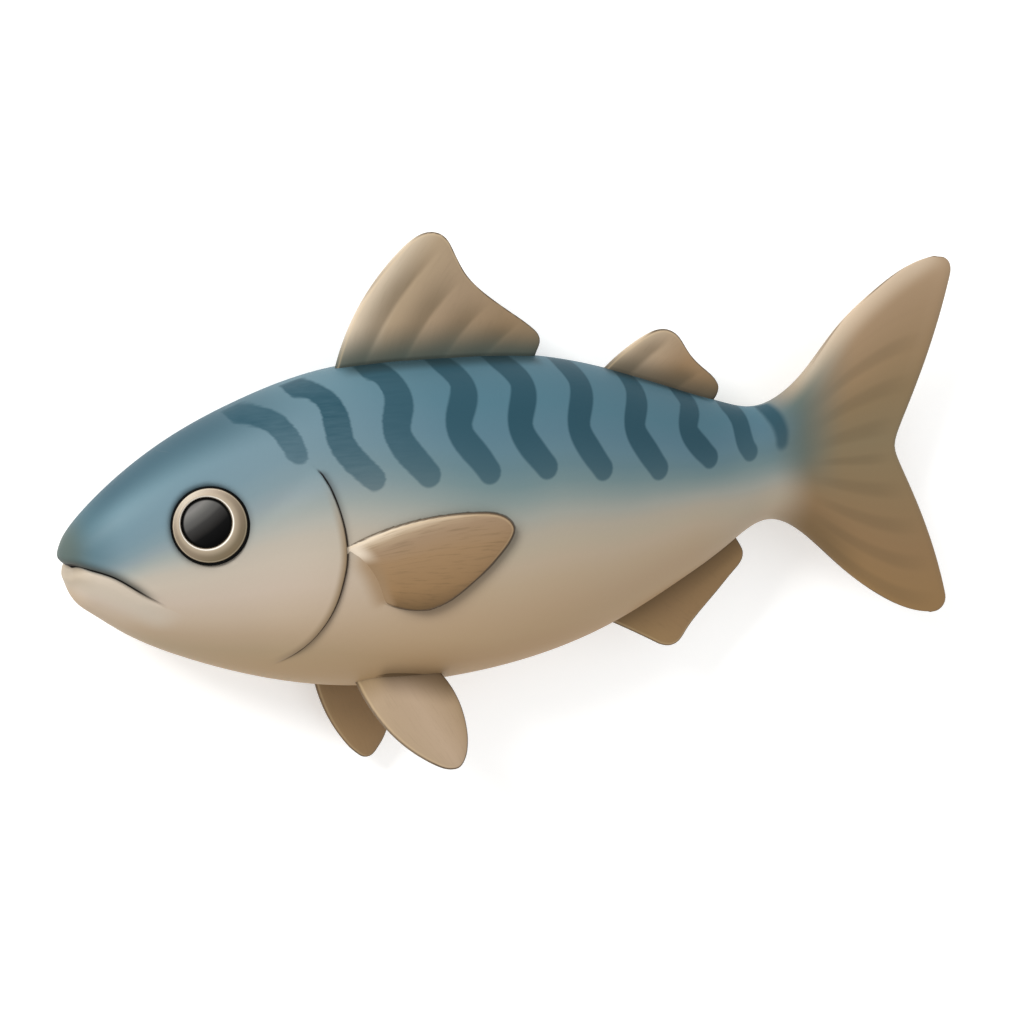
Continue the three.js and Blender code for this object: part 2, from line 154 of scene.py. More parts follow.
PECTORAL_FIN = {
    "base": [(75.8, -2), (85.6, -18)],
    "margin": [
        (119.8, 4.7), (123.5, 3.7), (126.7, 1.7), (128.2, -0.8), (127.6, -3.4), (125.2, -6.6),
        (121.1, -10.8), (116.6, -14.6), (112.1, -18), (108.7, -20.2), (105.2, -21.8), (101.7, -22.7),
    ],
    "bend": (3.2, -1.2),
    "thickness": (2.6, 1.6),
    "lift": 2,  # how far the free end stands off the flank
    "sink": (0.7, 2.4),  # how deep the upper and the lower end of the base are sunk into it
    "contact": [(76.6, -0.4), (79.8, -3.2), (83.9, -7.7), (86.6, -13.2), (88.6, -17.7), (89.8, -20.4)],
}

MOUTH_LINE = [  # from the front to the corner
    (0, -5), (1.2, -3.95), (3.8, -3.55), (8, -4.5), (11.8, -6), (15.6, -8.4), (20.3, -11.8), (26.4, -15.7),
]
GILL_LINE = [  # the rear edge of the gill cover, from the top
    (65.6, 25.4), (69.3, 22), (72.3, 17.7), (75.2, 9.7), (76.9, 1.6), (77, -6.5),
    (76.2, -10.9), (74.4, -17.6), (71.7, -23.7), (68.1, -29.1), (64, -33.5), (56.9, -38.3),
]
COVER = {"swell": 1.2, "reach": 16}  # how far the gill cover stands proud, and over what length
EYE = {"at": (38.7, 7.7), "radius": 10.6}

# ---- Driving dimensions of the looks ----

MOUTH_TURN = -0.25  # the skin's column that follows the mouth, as an angle round the section
GILL_ROW = 68  # the skin's row that follows the gill cover's edge, as a distance from the snout
GILL_GATHER = 48  # length over which the rows swing to it
LIPS = {"swell": 0.3, "groove": 1.3, "front": 1.8}  # swelling, depth of the mouth, and of its notch
GILL_GROOVE = 0.45  # depth of the groove behind the gill cover
PUPIL_SHIFT = (-1.05, 0.88)  # the pupil sits forward and up of the eye's middle
SOCKET = {"floor": 3.2, "from": 9.4, "to": 11.5}  # depth of the eye socket, and the radii of its wall
FIN_CELLS = (100, 130)  # cells of a fin's mesh out from its base and across it
EDGE_STEPS = 80  # points along the first ray, the margin and the last ray of a fin's outline
EYE_SIDES = 128  # cells round an eye's pieces

# Turned profiles: radius, height over the skin, and the share to which the axis has moved to the pupil's.
IRIS_PROFILE = [
    (9.2, -3.4, 0), (10.3, -1.8, 0), (10.62, 0.1, 0), (10.25, 0.85, 0.05), (9.4, 1.35, 0.4), (8.4, 1.75, 0.8),
    (7.6, 1.75, 1), (7.27, 1.25, 1), (7.1, -0.6, 1),
]
PUPIL_PROFILE = [
    (7, -0.8, 1), (7.15, 0.9, 1), (6.95, 1.6, 1), (5.8, 2.2, 1), (3.8, 2.65, 1), (1.8, 2.87, 1),
    (0.01, 2.9, 1),
]
RIM_PROFILE = [
    (10.2, -2.4, 0), (10.4, 0.2, 0), (10.65, 0.55, -0.05), (11, 0.35, -0.15), (11.1, -1.2, -0.15),
    (10.6, -2.4, 0), (10.2, -2.4, 0),
]
# Bands over the back: distance from the snout and height share of points down the middle of each, its half
# width, and how dark it is at its start and its end. A tip is how narrow a band starts, as a share of its
# width, and over what share of its length it widens, where it isn't the usual one.
BAND_TIP = (0.85, 0.25)
BANDS = [
    {"width": 3.4, "depth": (0.92, 0.72), "tip": (0.62, 0.65),
     "line": [(51.6, 0.985), (57.2, 0.925), (61.4, 0.855), (63.8, 0.76), (65.3, 0.665)]},
    {"width": 3.9, "depth": (0.98, 0.87), "tip": (0.5, 0.4),
     "line": [(69.4, 0.985), (74.3, 0.948), (77.7, 0.87), (78.2, 0.69), (83.7, 0.5), (86.4, 0.44)]},
    {"width": 4.2, "depth": (0.9, 0.91), "tip": (0.5, 0.2),
     "line": [(92, 0.985), (96.3, 0.95), (98.4, 0.86), (95.4, 0.7), (100.2, 0.5), (103, 0.43)]},
    {"width": 4.1, "depth": (0.95, 0.95),
     "line": [(116, 1), (119.4, 0.88), (114.6, 0.68), (119.3, 0.5), (122.2, 0.41)]},
    {"width": 4.1, "depth": (1, 1),
     "line": [(134.6, 1), (138.7, 0.87), (134.4, 0.66), (137.6, 0.5), (141.3, 0.4)]},
    {"width": 4, "depth": (1, 1),
     "line": [(156.6, 1), (158.7, 0.88), (154.3, 0.63), (156.4, 0.5), (161, 0.35)]},
    {"width": 4, "depth": (1, 1),
     "line": [(178.6, 1), (178.7, 0.87), (174.8, 0.63), (177, 0.5), (182.2, 0.31)]},
    {"width": 3.8, "depth": (1, 1),
     "line": [(197.6, 1), (198.6, 0.87), (195.8, 0.68), (198.8, 0.5), (202.9, 0.37)]},
    {"width": 3.5, "depth": (0.92, 0.92),
     "line": [(214.6, 1), (217.2, 0.86), (217.6, 0.69), (218.3, 0.5), (219.6, 0.4)]},
    {"width": 2.7, "depth": (0.9, 0.9),
     "line": [(228.8, 1), (230.8, 0.85), (232.4, 0.65), (232.9, 0.5), (232.8, 0.42)]},
]
# Height share at which the blue of the back has half faded, along the fish.
FADING_LINE = [
    (0, -0.12), (14, -0.07), (22, 0.06), (30, 0.13), (56, 0.3), (86, 0.31), (105, 0.25), (125, 0.18),
    (146, 0.17), (166, 0.12), (187, 0.08), (205, 0.02), (226, -0.05), (SKIN_END, -0.05),
]

# ---- Curves ----


def natural_spline(knots, values):
    """The natural cubic spline through values at knots, as a function. Between two knots the curve bends
    evenly from one end's bend to the other's, and the bends solve h0 b0 + 2 (h0 + h1) b1 + h1 b2 = 6 (slope1
    - slope0), with no bend at the first and the last knot."""
    knots, values = np.asarray(knots, float), np.asarray(values, float)
    step = np.diff(knots)
    system = np.diag(2 * (step[:-1] + step[1:])) + np.diag(step[1:-1], 1) + np.diag(step[1:-1], -1)
    bend = np.zeros(len(knots))
    bend[1:-1] = np.linalg.solve(system, 6 * np.diff(np.diff(values) / step))

    def curve(t):
        i = np.clip(np.searchsorted(knots, t) - 1, 0, len(step) - 1)
        right = (t - knots[i]) / step[i]
        left = 1 - right
        sag = ((left**3 - left) * bend[i] + (right**3 - right) * bend[i + 1]) * step[i] ** 2 / 6
        return left * values[i] + right * values[i + 1] + sag

    return curve


def outline(points):
    """The natural spline through points, run by the distance along their chords, for t from 0 to 1."""
    points = np.asarray(points, float)
    travelled = np.concatenate([[0], np.cumsum(np.linalg.norm(np.diff(points, axis=0), axis=1))])
    axes = [natural_spline(travelled, values) for values in points.T]
    return lambda t: np.stack([axis(np.asarray(t) * travelled[-1]) for axis in axes], -1)


def mix(a, b, t):
    """From a at 0 to b at 1, along a straight line."""
    return a + (b - a) * t


def smooth(t):
    """0 up to 0, 1 from 1 on, and the cubic 3 t^2 - 2 t^3 between."""
    t = np.clip(t, 0, 1)
    return t * t * (3 - 2 * t)


def bell(t):
    """1 at 0, falling off to both sides: e to the power of minus t squared."""
    return np.exp(-t * t)


def pillow(t, sharpness):
    """0 at both ends of a plate and nearly 1 between: the root of 1 - |2 t - 1| to a power."""
    return np.sqrt(np.maximum(0, 1 - np.abs(2 * t - 1) ** sharpness))


def eased(t):
    """Even steps made denser towards both ends: half of 1 - cos(pi t)."""
    return (1 - np.cos(np.pi * t)) / 2


def paced(start, end, pace):
    """Values from start to end whose steps follow pace(t): whole steps of the running sum of dt / pace."""
    t = np.linspace(start, end, 4001)
    steps = np.concatenate([[0], np.cumsum(np.diff(t) / pace((t[1:] + t[:-1]) / 2))])
    return np.interp(np.linspace(0, steps[-1], round(steps[-1]) + 1), steps, t)


def line_distance(x, y, line):
    """How far points of the side view lie from a line given as samples, and at what share of it. The sign is
    that of the cross product of the line's direction and the way to the point."""
    flat = np.stack([x.ravel(), y.ravel()], -1)
    reach = 30
    near = ((flat > line.min(0) - reach) & (flat < line.max(0) + reach)).all(1)
    nearest = np.zeros(len(flat), int)
    gap = flat[near, None, :] - line[None]
    nearest[near] = (gap**2).sum(2).argmin(1)
    direction = np.gradient(line, axis=0)[nearest]
    way = flat - line[nearest]
    side = np.sign(direction[:, 0] * way[:, 1] - direction[:, 1] * way[:, 0])
    distance = np.where(near, np.hypot(*way.T), reach) * np.where(side == 0, 1, side)
    return distance.reshape(x.shape), (nearest / (len(line) - 1)).reshape(x.shape)


# ---- The form of the skin ----

STATIONS = [(at, at, (at, back), (at, belly), flank, level) for at, back, belly, flank, level in TRUNK] + TAIL


def guide(pick):
    """A spline of one dimension of the sections over the root of the distance, which lets the snout be
    blunt."""
    return natural_spline([math.sqrt(s[0]) for s in STATIONS], [pick(s) for s in STATIONS])


GUIDES = {
    "middle": guide(lambda s: s[1] - s[0]),
    "back_x": guide(lambda s: s[2][0] - s[0]),
    "back_y": guide(lambda s: s[2][1]),
    "belly_x": guide(lambda s: s[3][0] - s[0]),
    "belly_y": guide(lambda s: s[3][1]),
    "flank": guide(lambda s: s[4]),
    "level": guide(lambda s: s[5]),
}


def half_width(at, share):
    """The skin's half thickness at a height share (-1 belly, 1 back): the flank times the root of
    1 - |share|^fullness, with the trailing edge rounded off as a quarter circle and rays as a cosine."""
    fullness = mix(FLANK_FULLNESS, TAIL_FULLNESS, smooth((at - WRIST + 12) / 40))
    rounding = np.sqrt(np.maximum(0, 1 - np.clip((at - SKIN_END + TAIL_EDGE) / TAIL_EDGE, 0, 1) ** 2))
    ray = share - 0.08 * smooth((0.05 - share) / 0.2)
    ridge = 1 + TAIL_RIDGE * np.cos(np.pi * TAIL_RAYS * ray) * smooth((at - WRIST - 5) / 25)
    section = np.sqrt(np.maximum(0, 1 - np.abs(share) ** fullness))
    return GUIDES["flank"](np.sqrt(at)) * rounding * ridge * section


def skin_point(at, turn):
    """A point of the bare skin. turn goes once round the section, 0 on the left flank and a quarter on the
    back: its sine is the height share, from the level of greatest width out to the back or the belly line."""
    root, share = np.sqrt(at), np.sin(turn)
    height = np.abs(share)
    edge_x = np.where(share > 0, GUIDES["back_x"](root), GUIDES["belly_x"](root))
    edge_y = np.where(share > 0, GUIDES["back_y"](root), GUIDES["belly_y"](root))
    rounded = np.hypot(height * (1 + LOBE_SWELL * (1 - height)), FORK_ROUNDING) - FORK_ROUNDING
    swing = rounded / (math.hypot(1, FORK_ROUNDING) - FORK_ROUNDING)
    corner = np.clip(1 - (1 - height) * TAIL_LOBE / TIP_ROUNDING, 0, 1)
    rounding = TIP_ROUNDING * (1 - np.sqrt(1 - corner**2)) * smooth((at - SKIN_END + 7) / 7)
    x = at + mix(GUIDES["middle"](root), edge_x, swing) - rounding
    y = mix(GUIDES["level"](root), edge_y, height)
    side = np.sign(np.round(np.cos(turn), 9))
    return np.stack([x, y, side * half_width(at, share)], -1)


def height_share(x, y):
    """-1 on the belly line, 0 at the level of greatest width and 1 on the back line of the trunk."""
    root = np.sqrt(np.maximum(0, x))
    level = GUIDES["level"](root)
    reach = np.where(y > level, GUIDES["back_y"](root) - level, level - GUIDES["belly_y"](root))
    return np.clip((y - level) / np.maximum(0.1, reach), -1, 1)


def flank_at(x, y):
    """The flank's distance from the mid-plane at a point of the side view."""
    return half_width(np.maximum(0, x), height_share(x, y))


def press(z):
    """Presses what would reach below the table up to it: from 0 the height is (h + s)^2 / 4 s, up to s."""
    height = z + REST_DEPTH
    bent = np.maximum(0, height + PRESS_SOFTNESS) ** 2 / (4 * PRESS_SOFTNESS)
    return np.where(height >= PRESS_SOFTNESS, height, bent) - REST_DEPTH


def skin_normal(x, y, side, reach):
    """The skin's outward direction at a point of the side view, from the flank's rise within a reach."""
    front = max(0, x - reach)
    along_x = (flank_at(x + reach, y) - flank_at(front, y)) / (x + reach - front)
    along_y = (flank_at(x, y + reach) - flank_at(x, y - reach)) / (2 * reach)
    normal = np.array([-along_x, -along_y, 1.0])
    return normal / np.linalg.norm(normal) * (1, 1, side)


def eye_seat(side):
    """The middle of an eye on the level of the skin around it, and the direction that it looks in."""
    x, y = EYE["at"]
    reach = 0.8 * EYE["radius"]
    around = ((reach, 0), (-reach, 0), (0, reach), (0, -reach))
    rim = np.mean([flank_at(x + dx, y + dy) for dx, dy in around])
    return np.array([x, y, side * rim]), skin_normal(x, y, side, reach)


def tail_edge():
    """The outline of the tail: its upper leading edge, its trailing edge and its lower leading edge."""
    at, quarter = np.linspace(WRIST, SKIN_END, 120), np.full(120, math.pi / 2)
    end, turn = np.full(160, float(SKIN_END)), np.linspace(math.pi / 2, -math.pi / 2, 160)
    edges = [skin_point(at, quarter), skin_point(end, turn), skin_point(at[::-1], -quarter)]
    return np.concatenate(edges)[:, :2]


# ---- Meshes ----


def to_part(points):
    """The side view's millimetres into the part's metres."""
    return (points + SNOUT) * MM


def grid_faces(rows, columns):
    """The quads of a grid of vertices whose columns close on themselves."""
    i, j = np.meshgrid(np.arange(rows - 1), np.arange(columns), indexing="ij")
    after = (j + 1) % columns
    corners = [i * columns + j, i * columns + after, (i + 1) * columns + after, (i + 1) * columns + j]
    return np.stack(corners, -1).reshape(-1, 4)


def make_piece(name, points, material, attributes=None, uv=None):
    """A closed piece from a grid of points of the side view whose columns run round it. Vertices that lie on
    each other, as at a pole or along a folded end, are merged, and the faces are turned outwards."""
    rows, columns = points.shape[:2]
    mesh = bpy.data.meshes.new(name)
    mesh.from_pydata(to_part(points).reshape(-1, 3).tolist(), [], grid_faces(rows, columns).tolist())
    for key, values in (attributes or {}).items():
        layer = mesh.attributes.new(key, "FLOAT", "POINT")
        layer.data.foreach_set("value", values.astype(np.float32).ravel())
    if uv is not None:
        corners = np.zeros(len(mesh.loops), np.int32)
        mesh.loops.foreach_get("vertex_index", corners)
        layer = mesh.uv_layers.new(name="surface")
        layer.data.foreach_set("uv", uv.reshape(-1, 2)[corners].astype(np.float32).ravel())
    shell = bmesh.new()
    shell.from_mesh(mesh)
    bmesh.ops.remove_doubles(shell, verts=shell.verts, dist=1e-7)
    bmesh.ops.recalc_face_normals(shell, faces=shell.faces)
    shell.to_mesh(mesh)
    shell.free()
    mesh.shade_smooth()
    mesh.materials.append(material)
    piece = bpy.data.objects.new(name, mesh)
    bpy.context.scene.collection.objects.link(piece)
    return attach(piece, "root")


def normals_of(points):
    """The outward normals of a grid of points: the cross product of its two central differences."""
    wrapped = np.concatenate([points[:, -1:], points, points[:, :1]], 1)
    across = (wrapped[:, 2:] - wrapped[:, :-2]) / 2
    normal = np.cross(np.gradient(points, axis=0), across)
    length = np.linalg.norm(normal, axis=-1, keepdims=True)
    return normal / np.maximum(length, 1e-9)


# ---- Skin ----

MOUTH = outline(MOUTH_LINE)(np.linspace(0, 1, 161))
GILL = outline(GILL_LINE)(np.linspace(0, 1, 241))


def run_on(values, knots, end):
    """Prolongs a sampled curve from its last knot to end, where its slope has evenly faded to nothing."""
    slope = (values[-1] - values[-3]) / (knots[-1] - knots[-3])
    share = np.linspace(0, 1, 40)[1:]
    length = end - knots[-1]
    beyond = values[-1] + slope * length * (share - share**2 / 2)
    return np.concatenate([values, beyond]), np.concatenate([knots, knots[-1] + share * length])


def gill_distance_at(turn):
    """How far from the snout the gill cover's edge is at a turn of the left flank, run on past its ends."""
    turns = np.arcsin(height_share(GILL[:, 0], GILL[:, 1]))
    values, knots = run_on(GILL[:, 0], turns, -math.pi / 2)
    values, knots = run_on(values[::-1], knots[::-1], math.pi / 2)
    return np.interp(turn, knots, values)


def mouth_turn_at(at):
    """The turn of the mouth line at a distance from the snout, run on behind the corner."""
    lips = MOUTH[MOUTH[:, 0] > 2]
    turns = np.arcsin(height_share(lips[:, 0], lips[:, 1]))
    values, knots = run_on(turns, lips[:, 0], lips[-1, 0] + 20)
    return np.interp(at, knots, values)


def skin_grid():
    """Distance and turn of every vertex of the skin. The rows gather at the gill cover's edge and the columns
    at the mouth, and each set swings with a squared cosine so that one of them runs along that line."""
    at_gill = lambda at: bell((at - GILL_ROW) / 4)
    head_pace = lambda at: np.minimum(0.12 + at * 0.05, mix(0.62, 0.2, at_gill(at)))
    body_pace = lambda at: np.minimum(0.12 + (SKIN_END - at) * 0.2, mix(0.95, 0.2, at_gill(at)))
    rows = np.concatenate([paced(0, GILL_ROW, head_pace), paced(GILL_ROW, SKIN_END, body_pace)[1:]])
    pace = lambda turn: mix(0.033, 0.011, bell((turn - MOUTH_TURN) / 0.12))
    quarter = math.pi / 2
    left = np.concatenate([paced(-quarter, MOUTH_TURN, pace), paced(MOUTH_TURN, quarter, pace)[1:]])
    at, turn = np.meshgrid(rows, left, indexing="ij")
    window = np.cos(quarter * np.clip((turn - MOUTH_TURN) / 1.3, -1, 1)) ** 2
    turn = turn + (mouth_turn_at(at) - MOUTH_TURN) * window * smooth((120 - at) / 60)
    window = np.cos(quarter * np.clip((at - GILL_ROW) / GILL_GATHER, -1, 1)) ** 2
    at = np.clip(at + (gill_distance_at(turn) - GILL_ROW) * window, 0, SKIN_END)
    mirrored = slice(-2, 0, -1)
    return np.concatenate([at, at[:, mirrored]], 1), np.concatenate([turn, math.pi - turn[:, mirrored]], 1)


def lips_relief(x, y):
    """Two swollen lips with a narrow groove between them, fading at the corner of the mouth, and a notch at
    the front: bells of the distance from the mouth line. Also returns that distance, positive above it."""
    distance, share = line_distance(x, y, MOUTH)
    above = distance > 0
    swell = LIPS["swell"] * np.where(above, bell((distance - 1.9) / 1.5), bell((distance + 2.4) / 1.7))
    groove = LIPS["groove"] * bell(distance / np.where(above, 0.3, 0.5))
    fade = smooth((1 - share) * 4) * smooth((28 - x) / 4)
    lower = smooth(-distance)
    notch = LIPS["front"] * mix(1, 1.5, smooth(-distance * 2)) * bell(distance / 1.7) + 0.5 * lower
    return (swell - groove) * fade - notch * smooth((7 - x) / 7), distance


def cover_relief(x, y, facing):
    """The gill cover swells towards its rear edge, rolls over it and drops into a groove behind, fading at
    both ends of the edge. Also returns the distance from the edge, positive in front, and 1 near it."""
    distance, share = line_distance(x, y, GILL)
    distance = -distance
    ends = smooth(share * 7 - 0.35) * smooth((1 - share) * 5)
    swell = COVER["swell"] * bell(np.maximum(distance, 0) / COVER["reach"]) * smooth((distance + 0.1) / 0.7)
    rim = 0.05 * bell((distance - 1.5) / 1.1)
    groove = GILL_GROOVE * bell((distance + 0.15) / np.where(distance < -0.15, 0.5, 0.3))
    dip = 0.15 * bell(distance / 3) * (distance < 0)
    near = smooth(share * 16) * smooth((1 - share) * 16) * smooth((9 - np.abs(distance)) / 3)
    return (swell + rim - groove - dip) * ends * facing, distance, near


def socket_relief(points):
    """A round pit under each eye, from the radius around the eye's axis."""
    relief = np.zeros(points.shape[:2])
    for side in (1, -1):
        centre, axis = eye_seat(side)
        way = points - centre
        radius = np.linalg.norm(way - (way @ axis)[..., None] * axis, axis=-1)
        wall = smooth((radius - SOCKET["from"]) / (SOCKET["to"] - SOCKET["from"]))
        relief -= (points[..., 2] * side > 0) * SOCKET["floor"] * (1 - wall)
    return relief


def band_distance(x, y):
    """Distance from the outline of the nearest band, negative inside it, and how dark that band is. A band is
    a rounded stroke along a spline down from the back."""
    best, depth = np.full(x.shape, 30.0), np.zeros(x.shape)
    for band in BANDS:
        ats, shares = np.array(band["line"]).T
        root = np.sqrt(ats)
        heights = mix(GUIDES["level"](root), GUIDES["back_y"](root), shares)
        stroke = outline(np.stack([ats, heights], -1))(np.linspace(0, 1, 60))
        distance, share = line_distance(x, y, stroke)
        tip, length = band.get("tip", BAND_TIP)
        width = band["width"] * mix(tip, 1, smooth(share / length)) * mix(1, 0.9, smooth(share * 4 - 3))
        edge = np.abs(distance) - width
        depth = np.where(edge < best, mix(*band["depth"], share), depth)
        best = np.minimum(edge, best)
    return best, depth


def build_skin(material):
    """The skin: its bare form, moved along its normals by the relief of lips, gill cover and sockets, and
    pressed to the table. It carries what its finish reads: distances from lines in metres, and where each
    line is near, its height share and its tone, which is the height share over the fading line, flatter
    towards the tail."""
    at, turn = skin_grid()
    points = skin_point(at, turn)
    x, y = points[..., 0], points[..., 1]
    normal = normals_of(points)
    lips, mouth = lips_relief(x, y)
    cover, gill, gill_near = cover_relief(x, y, np.abs(np.cos(turn)))
    relief = lips + cover + socket_relief(points)
    relief[0] = relief[-1] = 0
    points = points + normal * relief[..., None]
    points[..., 2] = press(points[..., 2])
    bands, depth = band_distance(x, y)
    shade, run = line_distance(x, y, pectoral_shade())
    root, fall = line_distance(x, y, outline(PECTORAL_FIN["contact"])(np.linspace(0, 1, 121)))
    crease, share = line_distance(x, y, outline(PELVIC_CREASE)(np.linspace(0, 1, 121)))
    fading = natural_spline(*zip(*FADING_LINE))
    outwards = np.cos(turn)
    left = outwards > 0
    off_ridge = np.where(left, smooth(outwards * 25), smooth(-outwards * 10 - 1.5))
    attributes = {
        "mouth": mouth * MM,
        "gill": gill * MM,
        "gill_near": gill_near,
        "bands": bands * MM,
        "band_depth": depth * off_ridge,
        "height": np.sin(turn),
        "tone": (np.sin(turn) - fading(at)) * mix(1, 0.55, smooth((at - 195) / 30)),
        "along": at * MM,
        "edge": np.abs(line_distance(x, y, tail_edge())[0]) * MM,
        "shade": shade * MM,
        "shade_near": smooth(run * 12) * smooth((1 - run) * 5) * (np.abs(shade) < 9) * left,
        "root": np.abs(root) * MM,
        "root_near": smooth(fall * 3 - 0.3) * smooth((1 - fall) * 9 + 0.1) * left,
        "crease": crease * MM,
        "crease_near": smooth(share * 8) * smooth((1 - share) * 8 + 0.3) * (np.abs(crease) < 9) * left,
    }
    return make_piece("skin", points, material, attributes)


# ---- Fins ----


def ray_point(shape, across, out):
    """A point of a fin's fan: a share of the way across it and out along its ray, which bows forwards as
    4 out (1 - out)."""
    front, back = np.array(shape["base"], float)
    root = mix(front, back, across[..., None])
    way = outline(shape["margin"])(across) - root
    length = np.linalg.norm(way, axis=-1)
    forwards = np.sign((back[0] - front[0]) * way[..., 1] - (back[1] - front[1]) * way[..., 0])
    bow = 4 * out * (1 - out) * mix(*shape["bend"], across) * forwards / length
    return root + way * out[..., None] + np.stack([-way[..., 1], way[..., 0]], -1) * bow[..., None]


def free_edge(shape):
    """The outline of a fin that stands clear of the body: its first ray, its margin and its last ray."""
    along, none, full = np.linspace(0, 1, EDGE_STEPS), np.zeros(EDGE_STEPS), np.ones(EDGE_STEPS)
    rays = [ray_point(shape, none, along), ray_point(shape, along, full), ray_point(shape, full, along[::-1])]
    return np.concatenate(rays)


def contact_distance(shape, x, y):
    """How far points of a fin stand from the line on which it comes out of the body."""
    if "contact" in shape:
        line = outline(shape["contact"])(np.linspace(0, 1, 160))
    else:
        (front, level), (rear, _) = shape["base"]
        at = np.linspace(front - 8, rear + 8, 160)
        line = np.stack([at, GUIDES["back_y" if level > 0 else "belly_y"](np.sqrt(at))], -1)
    return np.abs(line_distance(x, y, line)[0])


def pectoral_shade():
    """The outline of the shade under the pectoral fin: its free edge, moved back and down by its lift."""
    edge = free_edge(PECTORAL_FIN)
    ends = np.array([1, EDGE_STEPS, 2 * EDGE_STEPS, 3 * EDGE_STEPS]) - 1
    out = np.interp(np.arange(len(edge)), ends, [0, 1, 1, 0])
    return edge + (0.6 + PECTORAL_FIN["lift"] * smooth(out * 1.1))[:, None] * (0.45, -0.25)


def upright(shape, side):
    """A fin in the mid-plane."""
    return lambda x, y, offset, across, out: (x, y, offset)


def splayed(shape, side):
    """A pelvic fin that leans outwards from the belly on its side. The ends of its base are sunk into it."""
    level, distance = shape["root"]
    lean = math.radians(shape["splay"])
    front, rear = shape["sink"]

    def place(x, y, offset, across, out):
        sink = (front * np.maximum(0, 1 - across * 3) ** 2 + rear * across**2) * (1 - out) ** 2
        spread = distance + (level - y) * math.tan(lean) - sink
        return x, y + side * offset * math.sin(lean), side * spread + offset * math.cos(lean)

    return place


def folded(shape, side):
    """A pectoral fin along the flank: free at its end on the left, pressed flat under the fish on the right.
    Its base rises out of the skin without a step, later towards its lower end."""

    def place(x, y, offset, across, out):
        lift = shape["lift"] * smooth(out * 1.1) if side > 0 else 0
        sink = mix(*shape["sink"], across**0.7) * (1 - smooth(out / mix(0.15, 0.4, across)))
        return x, y, press(side * (flank_at(x, y) + lift - sink + offset))

    return place


def ray_steps(rays, across, out):
    """0 on the ridges and 1 in the grooves between a fin's rays: each ridge falls off gently backwards and
    ends at a short steep step. The lines lean against the fan, and leave off towards the last ray."""
    phase = (rays["count"] * (across - rays["first"] - rays["lean"] * (out - 0.3))) % 1
    step = smooth((phase - 0.15) / 0.7) * (1 - smooth((phase - 0.85) / 0.15))
    return step * smooth((rays["last"] - across) * 12)


def build_fin(name, shape, place, side, rays, material):
    """A fin as a thin pillow over its fan, thickest at the base, with low ridges along its rays. It carries
    the shares across it and out along its rays as a map, and the distances to its free edge and the body."""
    rows, columns = FIN_CELLS
    i, j = np.meshgrid(np.arange(rows + 1), np.arange(2 * columns), indexing="ij")
    out, across = eased(i / rows), eased(j / columns)
    ridge = 1 - rays["depth"] * ray_steps(rays, across, out) * smooth(out * 4) * smooth((1 - out) * 6)
    half = mix(*shape["thickness"], out) / 2 * ridge * pillow(out, 8) * pillow(across, 8)
    flat = ray_point(shape, across, out)
    edge = np.abs(line_distance(flat[..., 0], flat[..., 1], free_edge(shape))[0])
    points = place(shape, side)(flat[..., 0], flat[..., 1], np.where(j <= columns, half, -half), across, out)
    attributes = {"edge": edge * MM, "clear": contact_distance(shape, flat[..., 0], flat[..., 1]) * MM}
    return make_piece(name, np.stack(points, -1), material, attributes, np.stack([across, out], -1))


# ---- Eyes ----


def eye_axes(side):
    """The middle of an eye and three directions: along the fish to the tail, up, and out of the eye."""
    centre, axis = eye_seat(side)
    along = np.cross((0, side, 0), axis)
    along /= np.linalg.norm(along)
    return centre, along, np.cross(axis, along) * side, axis


def build_lathe(name, profile, side, material):
    """A turned piece on an eye's seat from a profile of radius, height over the skin, and the share to which
    the turning axis has moved from the eye's middle to the pupil's. It carries the share along the
    profile."""
    centre, along, up, axis = eye_axes(side)
    angle = np.linspace(0, 2 * np.pi, EYE_SIDES, endpoint=False)
    radius, height, share = np.array(profile, float).T[:, :, None]
    right = radius * np.cos(angle) + share * PUPIL_SHIFT[0]
    over = radius * np.sin(angle) + share * PUPIL_SHIFT[1]
    points = centre + right[..., None] * along + over[..., None] * up + height[..., None] * axis
    run = np.repeat(np.linspace(0, 1, len(profile))[:, None], EYE_SIDES, 1)
    return make_piece(name, points, material, {"run": run})


def rounded_profile(points):
    """A turned profile as the spline through a few points, closed on the axis at both ends."""
    profile = outline(points)(np.linspace(0, 1, 48))
    return np.concatenate([[(0, *profile[0, 1:])], profile, [(0, *profile[-1, 1:])]])


# ---- Materials ----


class Term:
    """One output of a material's nodes. Arithmetic on it adds Math nodes, and gives another term."""

    def __init__(self, finish, socket):
        self.finish, self.socket = finish, socket

    def math(self, operation, *values):
        return self.finish.node("ShaderNodeMath", {"operation": operation}, dict(enumerate(values)))

    def __add__(self, other):
        return self.math("ADD", self, other)

    def __radd__(self, other):
        return self.math("ADD", other, self)

    def __sub__(self, other):
        return self.math("SUBTRACT", self, other)

    def __rsub__(self, other):
        return self.math("SUBTRACT", other, self)

    def __mul__(self, other):
        return self.math("MULTIPLY", self, other)

    def __rmul__(self, other):
        return self.math("MULTIPLY", other, self)

    def __truediv__(self, other):
        return self.math("DIVIDE", self, other)

    def __rtruediv__(self, other):
        return self.math("DIVIDE", other, self)

    def __neg__(self):
        return self.math("MULTIPLY", self, -1)

    def __abs__(self):
        return self.math("ABSOLUTE", self)

    def cosine(self):
        return self.math("COSINE", self)

    def fraction(self):
        return self.math("FRACT", self)

    def bell(self, centre, reach):
        """e to the power of minus the squared distance from centre, in reaches."""
        away = (self - centre) / reach
        return self.math("EXPONENT", -(away * away))

    def rise(self, low, high):
        """0 at low and 1 at high, clamped, with the smooth cubic between. low may be the larger."""
        values = {"Value": self, "From Min": low, "From Max": high}
        return self.finish.node("ShaderNodeMapRange", {"interpolation_type": "SMOOTHSTEP"}, values)


